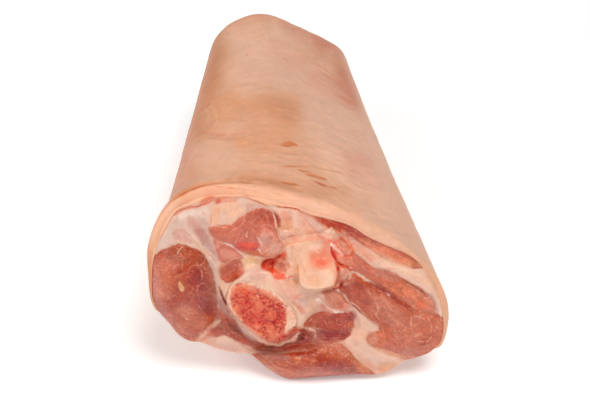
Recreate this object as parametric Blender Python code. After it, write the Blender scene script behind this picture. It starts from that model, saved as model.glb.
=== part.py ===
"""The lower hind leg of a pig in its skin, sawn across at the knee and again above the hock.

It lies on its underside, with its length along Y. The wide sawn end faces -Y and the narrow one +Y.
The origin is under the middle of its bounding box, on the surface that it rests on.

Every piece is laid out on the wide sawn face, in millimetres: u to the right and w up from the middle
of that face. leg_point() carries such a point down the tapering leg, so the fat layer with its rind, the
muscles, the bone and the fat between them all run through to the narrow end, side by side.
"""

import math

import bmesh
import bpy
import numpy as np

MM = 0.001

# Driving dimensions, in millimetres
LEG_LENGTH = 194.0
NEAR_X = -1.0  # the middle of the wide sawn face, so that the bounding box is centred
NEAR_Y = -90.7
FACE_HEIGHT = 53.5  # the middle of the wide face stands this high
GAP = 0.5  # between neighbours on the wide face; it narrows with the leg to about 0.3
RIND_BARE = 32.0  # how far the rind is drawn back from the sawn face along the underside
FLARE = 3.9  # the rind turns outwards by this much round the left of the wide face
BULGE_RISE = math.tan(math.radians(35.0))  # flesh that swells out of the face also rises by this much

# Outline of the skin at the wide end, and at the narrow end
SKIN_NEAR = [
    (-62, 5), (-61.3, 20), (-54.5, 37), (-44, 47), (-29, 50), (-10, 47), (11, 40), (30, 30),
    (45.6, 17.6), (56.4, 5), (63, -10), (64, -24), (60, -38), (48, -48), (34, -56), (14, -58),
    (-5, -57), (-16, -48), (-27, -41), (-42, -37), (-54.5, -25), (-61, -10),
]
SKIN_FAR = [
    (-48.8, -10), (-45.2, 8.5), (-38.7, 19.3), (-30, 25), (-21, 27.8), (-12, 26.4), (2, 19.4),
    (15, 12.5), (24.3, 4.5), (29, -14), (27, -32), (16, -50), (-7, -59), (-29, -57), (-43, -42),
    (-48.8, -26),
]
FAR_CENTRE = (-10.0, -13.0)

# Thickness of the rind with the fat under it, by angle round the wide face from +u towards +w
RIND_THICKNESS = [
    (0, 3.2), (25, 2.6), (50, 3.0), (75, 5.4), (105, 6.6), (125, 7.2), (140, 7.4),
    (160, 4.2), (180, 2.4), (200, 3.0), (270, 3.0), (330, 3.0), (345, 2.6),
]
BARE_FROM, BARE_TO = 192.0, 332.0  # the angles between which the rind is drawn back

# Outlines of the pieces on the wide face
MUSCLES = {
    "round_muscle": [
        (-64, -3), (-61, 12), (-54, 19), (-46, 21), (-40, 18), (-36, 10), (-34, -3), (-34, -13),
        (-38, -22), (-43, -31), (-48, -38), (-60, -30), (-68, -14),
    ],
    "crown_muscle": [
        (-34.6, 28.5), (-27, 31), (-20, 37), (-14, 39), (-9, 36), (-7.8, 29), (-5, 21), (-8, 16),
        (-17, 15.4), (-25, 18.7), (-33, 24),
    ],
    "small_muscle": [(-32, 10), (-24.5, 13.6), (-22.6, 8), (-27, 2), (-33, 5)],
    "strip_muscle": [
        (3, 39), (12, 41), (24, 36), (38, 28), (50, 20), (56, 11), (50, 8.5), (42, 11), (31, 17),
        (21, 24), (11, 30),
    ],
    "outer_muscle": [
        (21.7, 12.8), (30, 10), (40, 5), (49, -2), (56, -8), (57, -14.2), (53.6, -13.6), (49.2, -11.25),
        (39.2, -4.5), (30.1, 2), (24.2, 6.3),
    ],
    "main_muscle": [
        (18.4, 1), (20.8, 5), (23.5, 5.9), (29.6, 1.3), (38.8, -5.1), (48.8, -11.9), (55, -15.4),
        (64, -17.5), (70, -28), (64, -44), (54, -49), (44, -39.5), (34, -34), (31, -28.5),
        (34.5, -25), (27, -16), (19.6, -6),
    ],
    "lower_muscle": [
        (-20, -38), (-9, -37.8), (3, -36.6), (12, -33.4), (19, -33), (26, -41.5), (33, -51),
        (32, -62), (0, -64), (-18, -58), (-27, -46),
    ],
    "under_muscle": [
        (-39, -26), (-31, -18.6), (-24.6, -25), (-17, -32.8), (-9.4, -34), (-2, -31), (5, -26.6),
        (17, -26.8), (20, -28), (12, -31.2), (2, -34.4), (-8, -35.6), (-19, -34.8), (-29, -29.6),
    ],
    "inner_muscle": [(3, -22), (8, -14.2), (22, -14.4), (23.6, -22), (14, -24.6)],
}
SHANK_BONE = [
    (-30, -8), (-28.6, -1), (-23, 2.1), (-14, -1), (-5, -8.6), (-0.4, -17), (-2.6, -26),
    (-9.4, -31.2), (-17.5, -27.7), (-25.5, -18.8),
]
KNUCKLE_CAP = [(0, 6), (0.8, 18), (6, 22.2), (13, 19), (16.4, 7), (14.6, -1.4), (8, -2.8), (1.2, -0.6)]
CAP_DEPTH = 34.0  # how far the gristle cap reaches into the leg

# Swellings and hollows of the wide face: (u, w, half width, half height, forward by)
FACE_RELIEF = [
    (-48, -4, 15, 19, 8.0),  # round muscle
    (-35, -16, 4, 12, -5.0),  # crevice beside the bone
    (-17, 27, 12, 8, 3.5),  # crown muscle
    (-28, 7, 5, 5, -2.0),  # small muscle
    (-10, 9, 6, 4, -5.0),  # pocket under the crown muscle
    (10, 27, 12, 7, 3.0),  # fat over the gristle cap
    (19, 13, 4, 7, 3.0),  # torn tissue beside the gristle cap
    (30, 24, 16, 6, -1.5),  # strip muscle
    (43, -12, 17, 15, 6.5),  # outer and main muscles
    (45, -32, 12, 8, 4.0),  # lower end of the main muscle
    (5, -45, 20, 9, 6.0),  # lower muscle
    (-12, -35, 14, 3, -2.5),  # crevice under the bone
    (12, -20, 9, 5, -1.5),  # inner muscle
]
EDGE_ROUNDING = 4.0  # the bare edge of the flesh curves back by this much

# Sawn end of the bone and front of the gristle cap: base, slope along u, slope along w, dome
BONE_FACE = (7.0, 0.10, -0.10, 0.5)
CAP_FACE = (9.0, 0.05, -0.22, 3.0)

AROUND = 56  # points round the leg
LENGTH_STEPS = [0.0, 0.05, 0.14, 0.32, 0.55, 0.8, 1.0]
FACE_RINGS = [0.95, 0.88, 0.78, 0.66, 0.53, 0.4, 0.26, 0.12]
ANGLES = [2 * math.pi * k / AROUND for k in range(AROUND)]

# Colour (linear) and roughness of each piece; none is metallic
COLOURS = {
    "fat_layer": ((0.76, 0.42, 0.25), 0.45),
    "round_muscle": ((0.45, 0.11, 0.06), 0.35),
    "crown_muscle": ((0.58, 0.17, 0.11), 0.35),
    "small_muscle": ((0.50, 0.14, 0.08), 0.35),
    "strip_muscle": ((0.60, 0.20, 0.13), 0.35),
    "outer_muscle": ((0.56, 0.19, 0.12), 0.35),
    "main_muscle": ((0.52, 0.14, 0.08), 0.35),
    "lower_muscle": ((0.48, 0.13, 0.08), 0.35),
    "under_muscle": ((0.46, 0.12, 0.07), 0.35),
    "inner_muscle": ((0.54, 0.20, 0.15), 0.35),
    "shank_bone": ((0.70, 0.22, 0.14), 0.5),
    "knuckle_cap": ((0.85, 0.53, 0.36), 0.3),
    "seam_fat": ((0.80, 0.50, 0.36), 0.4),
}


def smooth_step(value, low, high):
    t = min(max((value - low) / (high - low), 0.0), 1.0)
    return t * t * (3 - 2 * t)


def closed_spline(points, count):
    """count points spread evenly along a smooth closed curve through the given points."""
    p = np.array(points, float)
    before, after, later = np.roll(p, 1, 0), np.roll(p, -1, 0), np.roll(p, -2, 0)
    t = np.linspace(0, 1, 12, endpoint=False)[:, None, None]
    curve = 0.5 * (
        2 * p
        + (after - before) * t
        + (2 * before - 5 * p + 4 * after - later) * t**2
        + (3 * p - before - 3 * after + later) * t**3
    )
    fine = curve.transpose(1, 0, 2).reshape(-1, 2)
    fine = np.vstack([fine, fine[:1]])
    run = np.concatenate([[0], np.cumsum(np.hypot(*np.diff(fine, axis=0).T))])
    at = np.linspace(0, run[-1], count, endpoint=False)
    return np.stack([np.interp(at, run, fine[:, k]) for k in (0, 1)], 1)


def radius_table(outline, centre):
    """Angles and radii of a closed outline about centre, in order of angle."""
    curve = closed_spline(outline, 720) - np.array(centre, float)
    angles = np.mod(np.arctan2(curve[:, 1], curve[:, 0]), 2 * math.pi)
    order = np.argsort(angles)
    return angles[order], np.hypot(curve[:, 0], curve[:, 1])[order]


NEAR_TABLE = radius_table(SKIN_NEAR, (0.0, 0.0))
FAR_TABLE = radius_table(SKIN_FAR, FAR_CENTRE)


def radius_in(table, angle):
    return float(np.interp(angle % (2 * math.pi), *table, period=2 * math.pi))


def skin_radius(angle, depth):
    """Radius of the skin about the leg's middle line, never below the surface that the leg lies on."""
    share = min(max(depth / LEG_LENGTH, 0.0), 1.0)
    radius = radius_in(NEAR_TABLE, angle) * (1 - share) + radius_in(FAR_TABLE, angle) * share
    turned_left = math.exp(-(((math.degrees(angle) % 360 - 158) / 38) ** 2))
    radius -= FLARE * turned_left * smooth_step(depth, 0.0, 18.0) * (1 - share)
    fall = math.sin(angle)
    if fall < -0.1:
        radius = min(radius, (FACE_HEIGHT + FAR_CENTRE[1] * share) / -fall)
    return radius


def rind_thickness(angle):
    degrees, sizes = zip(*RIND_THICKNESS)
    return float(np.interp(math.degrees(angle) % 360, degrees, sizes, period=360))


def rind_edge(angle):
    """Depth behind the sawn face at which the rind starts."""
    degrees = math.degrees(angle) % 360
    ease = 26.0
    inside = smooth_step(degrees, BARE_FROM, BARE_FROM + ease)
    return RIND_BARE * inside * (1 - smooth_step(degrees, BARE_TO - ease, BARE_TO))


def flesh_radius(angle, depth):
    """Radius of the flesh, which swells to the skin's outline where it is bare of rind."""
    edge = rind_edge(angle)
    bare = edge / RIND_BARE * (1 - smooth_step(depth, 0.0, max(edge, 1.0)))
    return skin_radius(angle, depth) - rind_thickness(angle) * (1 - bare) - GAP


def leg_point(u, w, depth):
    """A point of the wide face carried to a depth behind it, in metres.

    Flesh that swells out in front of the face also rises.
    """
    angle = math.atan2(w, u)
    share = min(max(depth / LEG_LENGTH, 0.0), 1.0)
    scale = skin_radius(angle, depth) / skin_radius(angle, 0.0)
    rise = max(-depth, 0.0) * BULGE_RISE
    x = NEAR_X + FAR_CENTRE[0] * share + u * scale
    z = FAR_CENTRE[1] * share + w * scale + rise + FACE_HEIGHT
    return x * MM, (NEAR_Y + depth) * MM, z * MM


def ring_point(angle, radius, depth):
    share = min(max(depth / LEG_LENGTH, 0.0), 1.0)
    x = NEAR_X + FAR_CENTRE[0] * share + radius * math.cos(angle)
    z = FAR_CENTRE[1] * share + radius * math.sin(angle) + FACE_HEIGHT
    return x * MM, (NEAR_Y + depth) * MM, z * MM


def face_relief(u, w):
    """How far the wide face stands forward at (u, w), in millimetres."""
    angle = math.atan2(w, u)
    share = math.hypot(u, w) / flesh_radius(angle, 0.0)
    inward = smooth_step(1.0 - share, 0.0, 0.16)
    height = sum(
        rise * math.exp(-(((u - cu) / across) ** 2) - ((w - cw) / up) ** 2)
        for cu, cw, across, up, rise in FACE_RELIEF
    )
    bare = rind_edge(angle) / RIND_BARE
    return height * inward - EDGE_ROUNDING * bare * (1 - inward) ** 2


def loft(name, rings, joined_ends=False):
    """A closed solid skinned over rings of points.

    A ring of one point closes an end; joined_ends makes the wall of a tube.
    """
    mesh = bpy.data.meshes.new(name)
    bm = bmesh.new()
    rows = [[bm.verts.new(point) for point in ring] for ring in rings]
    pairs = list(zip(rows, rows[1:]))
    if joined_ends:
        pairs.append((rows[-1], rows[0]))
    for first, second in pairs:
        for k in range(max(len(first), len(second))):
            corners = [first[k % len(first)], first[(k + 1) % len(first)]]
            corners += [second[(k + 1) % len(second)], second[k % len(second)]]
            bm.faces.new(list(dict.fromkeys(corners)))
    bmesh.ops.recalc_face_normals(bm, faces=bm.faces)
    bmesh.ops.triangulate(bm, faces=bm.faces)
    bm.to_mesh(mesh)
    bm.free()
    return bpy.data.objects.new(name, mesh)


def grown(outline, by):
    """A closed outline moved outwards by a distance."""
    along = np.roll(outline, -1, 0) - np.roll(outline, 1, 0)
    along /= np.hypot(along[:, 0], along[:, 1])[:, None]
    outward = np.stack([along[:, 1], -along[:, 0]], 1)
    x, y = outline.T
    area = np.sum(x * np.roll(y, -1) - y * np.roll(x, -1))
    return outline + outward * by * math.copysign(1.0, area)


def even_outline(points, spacing=3.6):
    rough = closed_spline(points, 90)
    length = np.hypot(*(rough - np.roll(rough, 1, 0)).T).sum()
    return closed_spline(points, max(14, round(length / spacing)))


def through_blade(name, points, grow=0.0, front=30.0, back=LEG_LENGTH + 12.0):
    """A solid of the given outline that runs down the leg from in front of the wide face."""
    outline = grown(even_outline(points), grow)
    middle = outline.mean(0)
    depths = [-front, 0.0, 45.0, 95.0, 145.0, LEG_LENGTH, back]
    depths = [d for d in depths if d < back] + [back]
    rings = [[leg_point(*middle, depths[0])]]
    rings += [[leg_point(u, w, depth) for u, w in outline] for depth in depths]
    rings.append([leg_point(*middle, depths[-1])])
    return loft(name, rings)


def flesh_core(name):
    """The whole of the leg inside its rind, with the swellings of the sawn face."""

    def face_ring(share):
        points = []
        for angle in ANGLES:
            radius = flesh_radius(angle, 0.0) * share
            u, w = radius * math.cos(angle), radius * math.sin(angle)
            points.append(leg_point(u, w, -face_relief(u, w)))
        return points

    def side_ring(step):
        points = []
        for angle in ANGLES:
            edge = max(rind_edge(angle), 2.0)
            depth = edge + (LEG_LENGTH - edge) * step
            points.append(ring_point(angle, flesh_radius(angle, depth), depth))
        return points

    def far_ring(share):
        return [ring_point(a, flesh_radius(a, LEG_LENGTH) * share, LEG_LENGTH) for a in ANGLES]

    rings = [[leg_point(0.01, 0.01, -face_relief(0.01, 0.01))]]
    rings += [face_ring(share) for share in reversed(FACE_RINGS)]
    rings += [face_ring(1.0)]
    rings += [side_ring(step) for step in LENGTH_STEPS]
    rings += [far_ring(share) for share in (0.66, 0.33)]
    rings.append([ring_point(0.0, 0.0, LEG_LENGTH)])
    return loft(name, rings)


def rind_shell(name):
    """The rind and the fat under it: a tube with rounded ends, drawn back along the underside."""
    edge_round = 1.2

    def ring(step, share, inset=0.0):
        points = []
        for angle in ANGLES:
            edge = rind_edge(angle)
            depth = edge + (LEG_LENGTH - edge) * step
            depth += inset if step < 0.5 else -inset
            radius = skin_radius(angle, depth) - rind_thickness(angle) * share
            points.append(ring_point(angle, radius, depth))
        return points

    outer = [ring(0.0, 0.25), ring(0.0, 0.0, edge_round)]
    outer += [ring(step, 0.0) for step in LENGTH_STEPS[1:-1]]
    outer += [ring(1.0, 0.0, edge_round), ring(1.0, 0.25)]
    inner = [ring(step, 1.0) for step in reversed(LENGTH_STEPS)]
    return loft(name, outer + inner, joined_ends=True)


def domed_piece(name, points, face, depth, flatness=(1.0, 0.97, 0.88, 0.6, 0.3)):
    """A piece whose own end stands out of the wide face: a base that slopes along u and w, and a dome."""
    outline = even_outline(points)
    middle = outline.mean(0)
    base, along_u, along_w, dome = face

    def front(u, w, share):
        height = base + along_u * (u - middle[0]) + along_w * (w - middle[1])
        rounded = 1.0 - share**6
        return -(height * 0.7 + (height * 0.3) * rounded + dome * (1 - share**2))

    def front_ring(share):
        ring = middle + (outline - middle) * share
        return [leg_point(u, w, front(u, w, share)) for u, w in ring]

    depths = [d for d in (0.0, 45.0, 95.0, 145.0) if d < depth] + [depth]
    rings = [[leg_point(*middle, front(*middle, 0.0))]]
    rings += [front_ring(share) for share in reversed(flatness)]
    rings += [[leg_point(u, w, d) for u, w in outline] for d in depths]
    rings.append([leg_point(*middle, depths[-1])])
    return loft(name, rings)


def cut(obj, tool, operation):
    """Applies a Boolean with an object or a collection to obj's mesh."""
    modifier = obj.modifiers.new(operation.title(), "BOOLEAN")
    modifier.operation = operation
    modifier.solver = "EXACT"
    if isinstance(tool, bpy.types.Collection):
        modifier.operand_type = "COLLECTION"
        modifier.collection = tool
    else:
        modifier.object = tool
    graph = bpy.context.evaluated_depsgraph_get()
    made = bpy.data.meshes.new_from_object(obj.evaluated_get(graph))
    obj.modifiers.clear()
    obj.data = made


def finish(obj):
    """Gives a piece its material, and shades it smooth but for the corners of its cut ends."""
    colour, roughness = COLOURS[obj.name]
    material = bpy.data.materials.new(obj.name)
    material.use_nodes = True
    material.diffuse_color = (*colour, 1.0)
    shader = material.node_tree.nodes["Principled BSDF"]
    shader.inputs["Base Color"].default_value = (*colour, 1.0)
    shader.inputs["Roughness"].default_value = roughness
    shader.inputs["Metallic"].default_value = 0.0
    obj.data.materials.clear()
    obj.data.materials.append(material)
    obj.data.shade_smooth()
    obj.data.set_sharp_from_angle(angle=math.radians(45))


def placed(obj, collection):
    collection.objects.link(obj)
    if collection.name == "cutters":
        obj.hide_render = True
        obj.display_type = "WIRE"
    return obj


def new_collection(name):
    collection = bpy.data.collections.new(name)
    bpy.context.scene.collection.children.link(collection)
    return collection


def build():
    for obj in list(bpy.data.objects):
        bpy.data.objects.remove(obj)
    leg = new_collection("pork_leg")
    cutters = new_collection("cutters")

    # Each muscle is the part of the core that its outline holds
    for name, outline in MUSCLES.items():
        muscle = placed(flesh_core(name), leg)
        blade = placed(through_blade(name + "_blade", outline), cutters)
        cut(muscle, blade, "INTERSECT")
        bpy.data.objects.remove(blade)

    placed(domed_piece("shank_bone", SHANK_BONE, BONE_FACE, LEG_LENGTH), leg)
    placed(domed_piece("knuckle_cap", KNUCKLE_CAP, CAP_FACE, CAP_DEPTH), leg)
    placed(rind_shell("fat_layer"), leg)

    # The fat and membranes fill what is left between them, a hair's breadth clear
    for name, outline in MUSCLES.items():
        placed(through_blade(name + "_room", outline, GAP), cutters)
    placed(through_blade("bone_room", SHANK_BONE, GAP), cutters)
    placed(through_blade("cap_room", KNUCKLE_CAP, GAP, back=CAP_DEPTH + GAP), cutters)
    seam_fat = placed(flesh_core("seam_fat"), leg)
    cut(seam_fat, cutters, "DIFFERENCE")
    for room in list(cutters.objects):
        bpy.data.objects.remove(room)

    for piece in leg.objects:
        finish(piece)


build()
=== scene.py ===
"""The lower hind leg of a pig in its skin, raw, sawn across at the knee and again above the hock.

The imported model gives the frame. Each of its nodes is replaced by a piece with a fine surface: the fat
layer with its rind, nine muscles, the shank bone, the gristle cap and the fat between them.

The wide sawn face is laid out in the camera's own picture, 590 x 403, on the plane of the saw cut. A
point of the picture is carried onto that plane, and relief moves it along its line of sight, so an
outline keeps its place in the camera's view however far the flesh swells.
"""

import math

import bpy
import numpy as np
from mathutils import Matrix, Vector
from mathutils.geometry import delaunay_2d_cdt


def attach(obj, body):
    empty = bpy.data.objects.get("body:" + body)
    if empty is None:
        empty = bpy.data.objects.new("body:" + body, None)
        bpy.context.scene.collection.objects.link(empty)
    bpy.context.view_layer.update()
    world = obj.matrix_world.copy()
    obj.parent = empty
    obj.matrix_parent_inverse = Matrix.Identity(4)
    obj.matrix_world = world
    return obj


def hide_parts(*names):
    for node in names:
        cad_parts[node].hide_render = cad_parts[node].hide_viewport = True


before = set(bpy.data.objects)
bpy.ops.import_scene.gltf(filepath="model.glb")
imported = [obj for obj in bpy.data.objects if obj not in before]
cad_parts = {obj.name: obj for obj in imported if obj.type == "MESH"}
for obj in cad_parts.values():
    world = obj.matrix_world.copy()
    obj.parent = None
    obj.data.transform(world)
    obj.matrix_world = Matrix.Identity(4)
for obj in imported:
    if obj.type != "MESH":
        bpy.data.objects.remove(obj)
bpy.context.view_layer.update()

MM = 0.001

# The leg, in millimetres, as in the model. Angles round it, in degrees, run from its right side over its top
LEG_LENGTH = 194.0
FACE_MIDDLE = np.array([-1.0, -90.7, 53.5])
FAR_CENTRE = np.array([-10.0, -13.0])  # middle of the narrow end, from that of the wide face
FLARE = 3.9  # how far the skin at the left draws in behind its flared edge
FLARE_AT, FLARE_SPREAD, FLARE_DEPTH = 158.0, 38.0, 18.0
RIND_BARE = 32.0  # how far the rind is drawn back along the underside
BARE_FROM, BARE_TO, BARE_FADE = 192.0, 332.0, 26.0
FACE_FADE = 20.0  # depth by which the flesh fills the rind, whatever its outline on the face
DOWNWARD = 0.1  # the skin is cut off at the floor where it points down by at least this sine
LIP = 0.7  # how far the cut edge of the fat stands out
# Outlines of the skin at the wide face and at the narrow end, then its thickness at angles round the leg
SKIN_NEAR = [
    (-62, 5), (-61.3, 20), (-54.5, 37), (-44, 47), (-29, 50), (-10, 47), (11, 40), (30, 30),
    (45.6, 17.6), (56.4, 5), (63, -10), (64, -24), (60, -38), (48, -48), (34, -56), (14, -58),
    (-5, -57), (-16, -48), (-27, -41), (-42, -37), (-54.5, -25), (-61, -10),
]
SKIN_FAR = [
    (-48.8, -10), (-45.2, 8.5), (-38.7, 19.3), (-30, 25), (-21, 27.8), (-12, 26.4), (2, 19.4),
    (15, 12.5), (24.3, 4.5), (29, -14), (27, -32), (16, -50), (-7, -59), (-29, -57), (-43, -42),
    (-48.8, -26),
]
RIND_THICKNESS = [
    (0, 3.2), (25, 2.6), (50, 3.0), (75, 5.4), (105, 6.6), (125, 7.2), (140, 7.4),
    (160, 4.2), (180, 2.4), (200, 3.0), (270, 3.0), (330, 3.0), (345, 2.6),
]

# The camera looks along +Y and down; the middle of the wide face shows at FACE_PIXEL
PITCH = math.radians(35.0)
PICTURE = (590, 403)
FOCAL = 1300.0  # in pixels
FACE_PIXEL = (298.0, 285.0)
FACE_DISTANCE = 538.2  # in millimetres, along the middle of the view
AHEAD = np.array([0.0, math.cos(PITCH), -math.sin(PITCH)])
UPWARD = np.array([0.0, math.sin(PITCH), math.cos(PITCH)])
SIDEWAYS = np.array([1.0, 0.0, 0.0])


def sight(pixels):
    """Directions of the lines of sight through points of the picture."""
    p = np.asarray(pixels, float)
    across = (p[..., 0:1] - PICTURE[0] / 2) / FOCAL
    down = (p[..., 1:2] - PICTURE[1] / 2) / FOCAL
    return AHEAD + across * SIDEWAYS - down * UPWARD


EYE = FACE_MIDDLE - FACE_DISTANCE * sight(FACE_PIXEL)


def on_face(pixels):
    """Points of the picture carried onto the plane of the wide face, in millimetres."""
    rays = sight(pixels)
    return EYE + rays * ((FACE_MIDDLE[1] - EYE[1]) / rays[..., 1:2])


def to_pixels(points):
    """Where points in space show in the picture."""
    away = points - EYE
    depth = away @ AHEAD
    x = PICTURE[0] / 2 + FOCAL * (away @ SIDEWAYS) / depth
    y = PICTURE[1] / 2 - FOCAL * (away @ UPWARD) / depth
    return np.stack([x, y], -1)


def mix(first, second, share):
    return first * (1 - share) + second * share


def smooth_step(value, low, high):
    """0 up to low, 1 from high on, and a smooth rise between them."""
    t = np.clip((value - low) / np.maximum(high - low, 1e-9), 0, 1)
    return t * t * (3 - 2 * t)


TILE = 64  # units after which noise and cells repeat


def noise(x, y, seed):
    """Smooth noise from -1 to 1, with features about one unit wide."""
    table = np.random.default_rng(seed).uniform(-1, 1, (TILE, TILE))
    xi, yi = np.floor(x).astype(int), np.floor(y).astype(int)
    fx, fy = smooth_step(x - xi, 0, 1), smooth_step(y - yi, 0, 1)
    x0, x1, y0, y1 = xi % TILE, (xi + 1) % TILE, yi % TILE, (yi + 1) % TILE
    low, high = mix(table[x0, y0], table[x1, y0], fx), mix(table[x0, y1], table[x1, y1], fx)
    return mix(low, high, fy)


def fractal(x, y, seed, octaves=3):
    """Noise with features from one unit wide down, each octave half as wide and half as strong."""
    total = sum(noise(x * 2**k, y * 2**k, seed + k) / 2**k for k in range(octaves))
    return total / (2 - 2 ** (1 - octaves))


def clouds(x, y, size, seed, octaves=3):
    """Fractal noise whose widest features are about size across."""
    return fractal(x / size, y / size, seed, octaves)


def cells(x, y, seed):
    """Distances to the two nearest of seeds scattered one to a unit square, and the nearest one's number."""
    rng = np.random.default_rng(seed)
    shift, numbers = rng.uniform(0.1, 0.9, (2, TILE, TILE)), rng.uniform(0, 1, (TILE, TILE))
    xi, yi = np.floor(x).astype(int), np.floor(y).astype(int)
    first, second, own = np.full(x.shape, 9.0), np.full(x.shape, 9.0), np.zeros(x.shape)
    for dx in (-1, 0, 1):
        for dy in (-1, 0, 1):
            cx, cy = (xi + dx) % TILE, (yi + dy) % TILE
            d = np.hypot(xi + dx + shift[0][cx, cy] - x, yi + dy + shift[1][cx, cy] - y)
            nearer = d < first
            second = np.where(nearer, first, np.minimum(second, d))
            own = np.where(nearer, numbers[cx, cy], own)
            first = np.minimum(first, d)
    return first, second, own


def walls(x, y, seed, low, high):
    """1 on the walls between cells one unit wide, and 0 where the two nearest seeds differ by high."""
    first, second, _ = cells(x, y, seed)
    return 1 - smooth_step(second - first, low, high)


SPLINE_STEPS = 12  # between two of the given points


def spline(points, count, closed=True):
    """count points spread evenly along a smooth curve through the given points."""
    p = np.array(points, float)
    if closed:
        before, after, later = np.roll(p, 1, 0), np.roll(p, -1, 0), np.roll(p, -2, 0)
        here = p
    else:
        ends = np.vstack([2 * p[0] - p[1], p, 2 * p[-1] - p[-2]])
        before, here, after, later = ends[:-3], ends[1:-2], ends[2:-1], ends[3:]
    t = np.linspace(0, 1, SPLINE_STEPS, endpoint=False)[:, None, None]
    curve = 0.5 * (
        2 * here
        + (after - before) * t
        + (2 * before - 5 * here + 4 * after - later) * t**2
        + (3 * here - before - 3 * after + later) * t**3
    )
    fine = curve.transpose(1, 0, 2).reshape(-1, 2)
    fine = np.vstack([fine, fine[:1] if closed else p[-1:]])
    run = np.concatenate([[0], np.cumsum(np.hypot(*np.diff(fine, axis=0).T))])
    at = np.linspace(0, run[-1], count, endpoint=not closed)
    return np.stack([np.interp(at, run, fine[:, k]) for k in (0, 1)], 1)


def closed_run(shape):
    return np.vstack([shape, shape[:1]])


def radius_table(curve):
    """The angles of a closed curve's points round the origin, in order, and their radii."""
    angles = np.mod(np.arctan2(curve[:, 1], curve[:, 0]), 2 * math.pi)
    order = np.argsort(angles)
    return angles[order], np.hypot(curve[:, 0], curve[:, 1])[order]


def from_table(table, angle):
    """The radius that a table of angles and radii gives at an angle."""
    return np.interp(np.mod(angle, 2 * math.pi), *table, period=2 * math.pi)


# Outline of the flesh inside the rind, then of its bare underside, in the picture
FLESH_EDGE = [
    (152, 290), (153, 265), (157, 248), (165, 230), (175, 213), (186, 207), (200, 202),
    (212, 197.5), (225, 198), (240, 197), (252, 200), (265, 205), (280, 207), (297, 209),
    (310, 215), (330, 220), (345, 224), (356, 229), (366, 236), (378, 242), (392, 248),
    (404, 253), (414, 259), (422, 267), (430, 279), (437, 291), (441, 304), (443, 318),
    (443, 330), (440, 342), (430, 352), (418, 357), (404, 361), (392, 369), (378, 374),
    (355, 374.5), (330, 376), (300, 378.5), (285, 378), (270, 370), (259, 361), (250, 354),
    (235, 352.5), (218, 349), (203, 343), (188, 340.5), (178, 334), (169, 323), (160, 313),
    (154, 302),
]
SKIN_POINTS, FLESH_POINTS, RIM_POINTS = 720, 900, 400  # on the smooth curves through the outlines
NEAR_TABLE = radius_table(spline(SKIN_NEAR, SKIN_POINTS))
FAR_TABLE = radius_table(spline(np.array(SKIN_FAR) - FAR_CENTRE, SKIN_POINTS))
flesh_on_face = on_face(spline(FLESH_EDGE, FLESH_POINTS)) - FACE_MIDDLE
FLESH_TABLE = radius_table(flesh_on_face[:, [0, 2]])


def whole_degrees(angle):
    return np.mod(np.degrees(angle), 360)


def skin_radius(angle, depth):
    """Radius of the skin: the near outline turning into the far one, flat where it lies on the floor."""
    share = np.clip(depth / LEG_LENGTH, 0, 1)
    radius = mix(from_table(NEAR_TABLE, angle), from_table(FAR_TABLE, angle), share)
    turned = np.exp(-(((whole_degrees(angle) - FLARE_AT) / FLARE_SPREAD) ** 2))
    radius = radius - FLARE * turned * smooth_step(depth, 0.0, FLARE_DEPTH) * (1 - share)
    fall = np.minimum(np.sin(angle), -DOWNWARD)
    floor = (FACE_MIDDLE[2] + FAR_CENTRE[1] * share) / -fall
    return np.where(np.sin(angle) < -DOWNWARD, np.minimum(radius, floor), radius)


def rind_edge(angle):
    """Depth at which the rind starts: 0, and further back along the underside."""
    degrees = whole_degrees(angle)
    started = smooth_step(degrees, BARE_FROM, BARE_FROM + BARE_FADE)
    return RIND_BARE * started * (1 - smooth_step(degrees, BARE_TO - BARE_FADE, BARE_TO))


def covered_by_rind(angle):
    """1 where the rind reaches the wide face, and 0 where the underside is bare."""
    return 1 - rind_edge(angle) / RIND_BARE


def flesh_radius(angle, depth):
    """Radius of the flesh: the drawn outline on the face, and the inside of the rind behind it."""
    degrees, sizes = zip(*RIND_THICKNESS)
    thick = np.interp(whole_degrees(angle), degrees, sizes, period=360)
    at_face = skin_radius(angle, 0.0) - from_table(FLESH_TABLE, angle)
    share = smooth_step(depth, 0.0, np.maximum(rind_edge(angle), FACE_FADE))
    return skin_radius(angle, depth) - at_face * (1 - share) - thick * share


def ring_points(angle, radius, depth):
    """Points in space, at a radius from the leg's slanting axis."""
    share = np.clip(depth / LEG_LENGTH, 0, 1)
    x = FACE_MIDDLE[0] + FAR_CENTRE[0] * share + radius * np.cos(angle)
    z = FACE_MIDDLE[2] + FAR_CENTRE[1] * share + radius * np.sin(angle)
    return np.stack([x, FACE_MIDDLE[1] + depth + 0 * angle, z], -1)


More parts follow.
